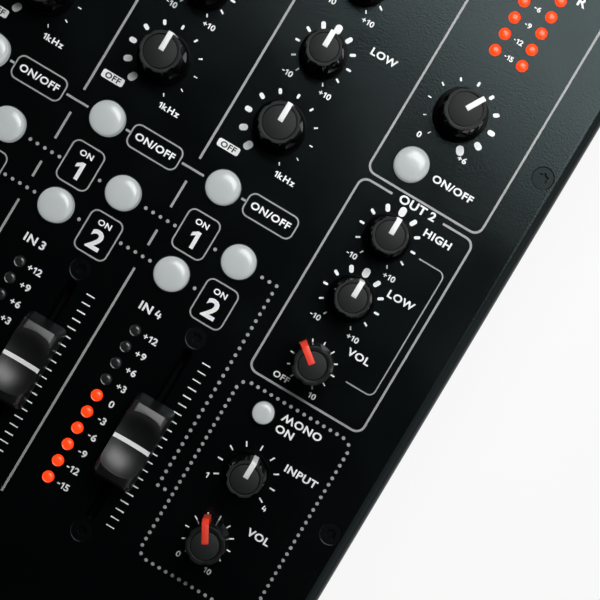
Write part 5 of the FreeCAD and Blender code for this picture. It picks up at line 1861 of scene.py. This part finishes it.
def soft_light(name, watts, size, aim, distance, bearing, lean):
    """Rectangular lamp that looks at a point, from a bearing clockwise from the rear and a lean."""
    around = math.radians(bearing)
    down = math.radians(lean)
    way = Vector((math.sin(around) * math.sin(down), math.cos(around) * math.sin(down), math.cos(down)))
    lamp = bpy.data.lights.new(name, "AREA")
    lamp.shape = "RECTANGLE"
    lamp.size, lamp.size_y = size
    lamp.energy = watts
    holder = bpy.data.objects.new(name, lamp)
    holder.location = aim + way * distance
    holder.rotation_euler = (-way).to_track_quat("-Z", "Y").to_euler()
    holder.visible_camera = False
    bpy.context.scene.collection.objects.link(holder)
    return holder


def studio_room(scene, stage):
    """Walls that light evenly and are white where they are seen, under a dark ceiling."""
    wall_top, ceiling_foot = 0.05, 0.3
    world = bpy.data.worlds.new("studio_room")
    scene.world = world
    world.use_nodes = True
    nodes = world.node_tree.nodes
    links = world.node_tree.links
    sky = nodes["Background"]
    sky.inputs["Color"].default_value = (1, 1, 1, 1)
    way = nodes.new("ShaderNodeTexCoord")
    parts = nodes.new("ShaderNodeSeparateXYZ")
    wall = nodes.new("ShaderNodeMapRange")
    wall.inputs["To Min"].default_value = stage.room
    wall.inputs["To Max"].default_value = 1.0
    height = nodes.new("ShaderNodeMapRange")
    height.inputs["From Min"].default_value = wall_top
    height.inputs["From Max"].default_value = ceiling_foot
    height.inputs["To Max"].default_value = stage.ceiling
    links.new(way.outputs["Generated"], parts.inputs["Vector"])
    links.new(parts.outputs["Z"], height.inputs["Value"])
    links.new(seen_by_eye(nodes, links), wall.inputs["Value"])
    links.new(wall.outputs["Result"], height.inputs["To Min"])
    links.new(height.outputs["Result"], sky.inputs["Strength"])


class MIXER_PT_sidebar(bpy.types.Panel):
    """Lists the mixer's pieces and the values that shape them"""

    bl_idname = "MIXER_PT_sidebar"
    bl_label = "DJ mixer"
    bl_space_type = "VIEW_3D"
    bl_region_type = "UI"
    bl_category = "Mixer"

    def draw(self, context):
        for operator in operators:
            self.layout.operator(operator.bl_idname)
        for group, word in property_groups:
            box = self.layout.box()
            values = getattr(context.scene, word)
            for name in group.__annotations__:
                box.prop(values, name)


operators = (
    MIXER_OT_case,
    MIXER_OT_knobs,
    MIXER_OT_buttons,
    MIXER_OT_faders,
    MIXER_OT_lamps,
    MIXER_OT_screws,
    MIXER_OT_print,
    MIXER_OT_sockets,
    MIXER_OT_power,
    MIXER_OT_stage,
)
property_groups = (
    (MixerColours, "mixer_colours"),
    (MixerKnobs, "mixer_knobs"),
    (MixerButtons, "mixer_buttons"),
    (MixerFaders, "mixer_faders"),
    (MixerLamps, "mixer_lamps"),
    (MixerScrews, "mixer_screws"),
    (MixerPrint, "mixer_print"),
    (MixerSockets, "mixer_sockets"),
    (MixerMains, "mixer_mains"),
    (MixerStage, "mixer_stage"),
)


def register():
    """Add the mixer's classes and values to Blender."""
    for group, word in property_groups:
        bpy.utils.register_class(group)
        setattr(bpy.types.Scene, word, bpy.props.PointerProperty(type=group))
    for item in operators + (MIXER_PT_sidebar,):
        bpy.utils.register_class(item)


def unregister():
    """Take the mixer's classes and values out of Blender."""
    for item in reversed(operators + (MIXER_PT_sidebar,)):
        bpy.utils.unregister_class(item)
    for group, word in reversed(property_groups):
        delattr(bpy.types.Scene, word)
        bpy.utils.unregister_class(group)


def main():
    """Build every piece in order."""
    register()
    bpy.ops.mixer.case()
    bpy.ops.mixer.knobs()
    bpy.ops.mixer.buttons()
    bpy.ops.mixer.faders()
    bpy.ops.mixer.lamps()
    bpy.ops.mixer.screws()
    bpy.ops.mixer.print()
    bpy.ops.mixer.sockets()
    bpy.ops.mixer.power()
    bpy.ops.mixer.stage()


if __name__ == "__main__":
    main()
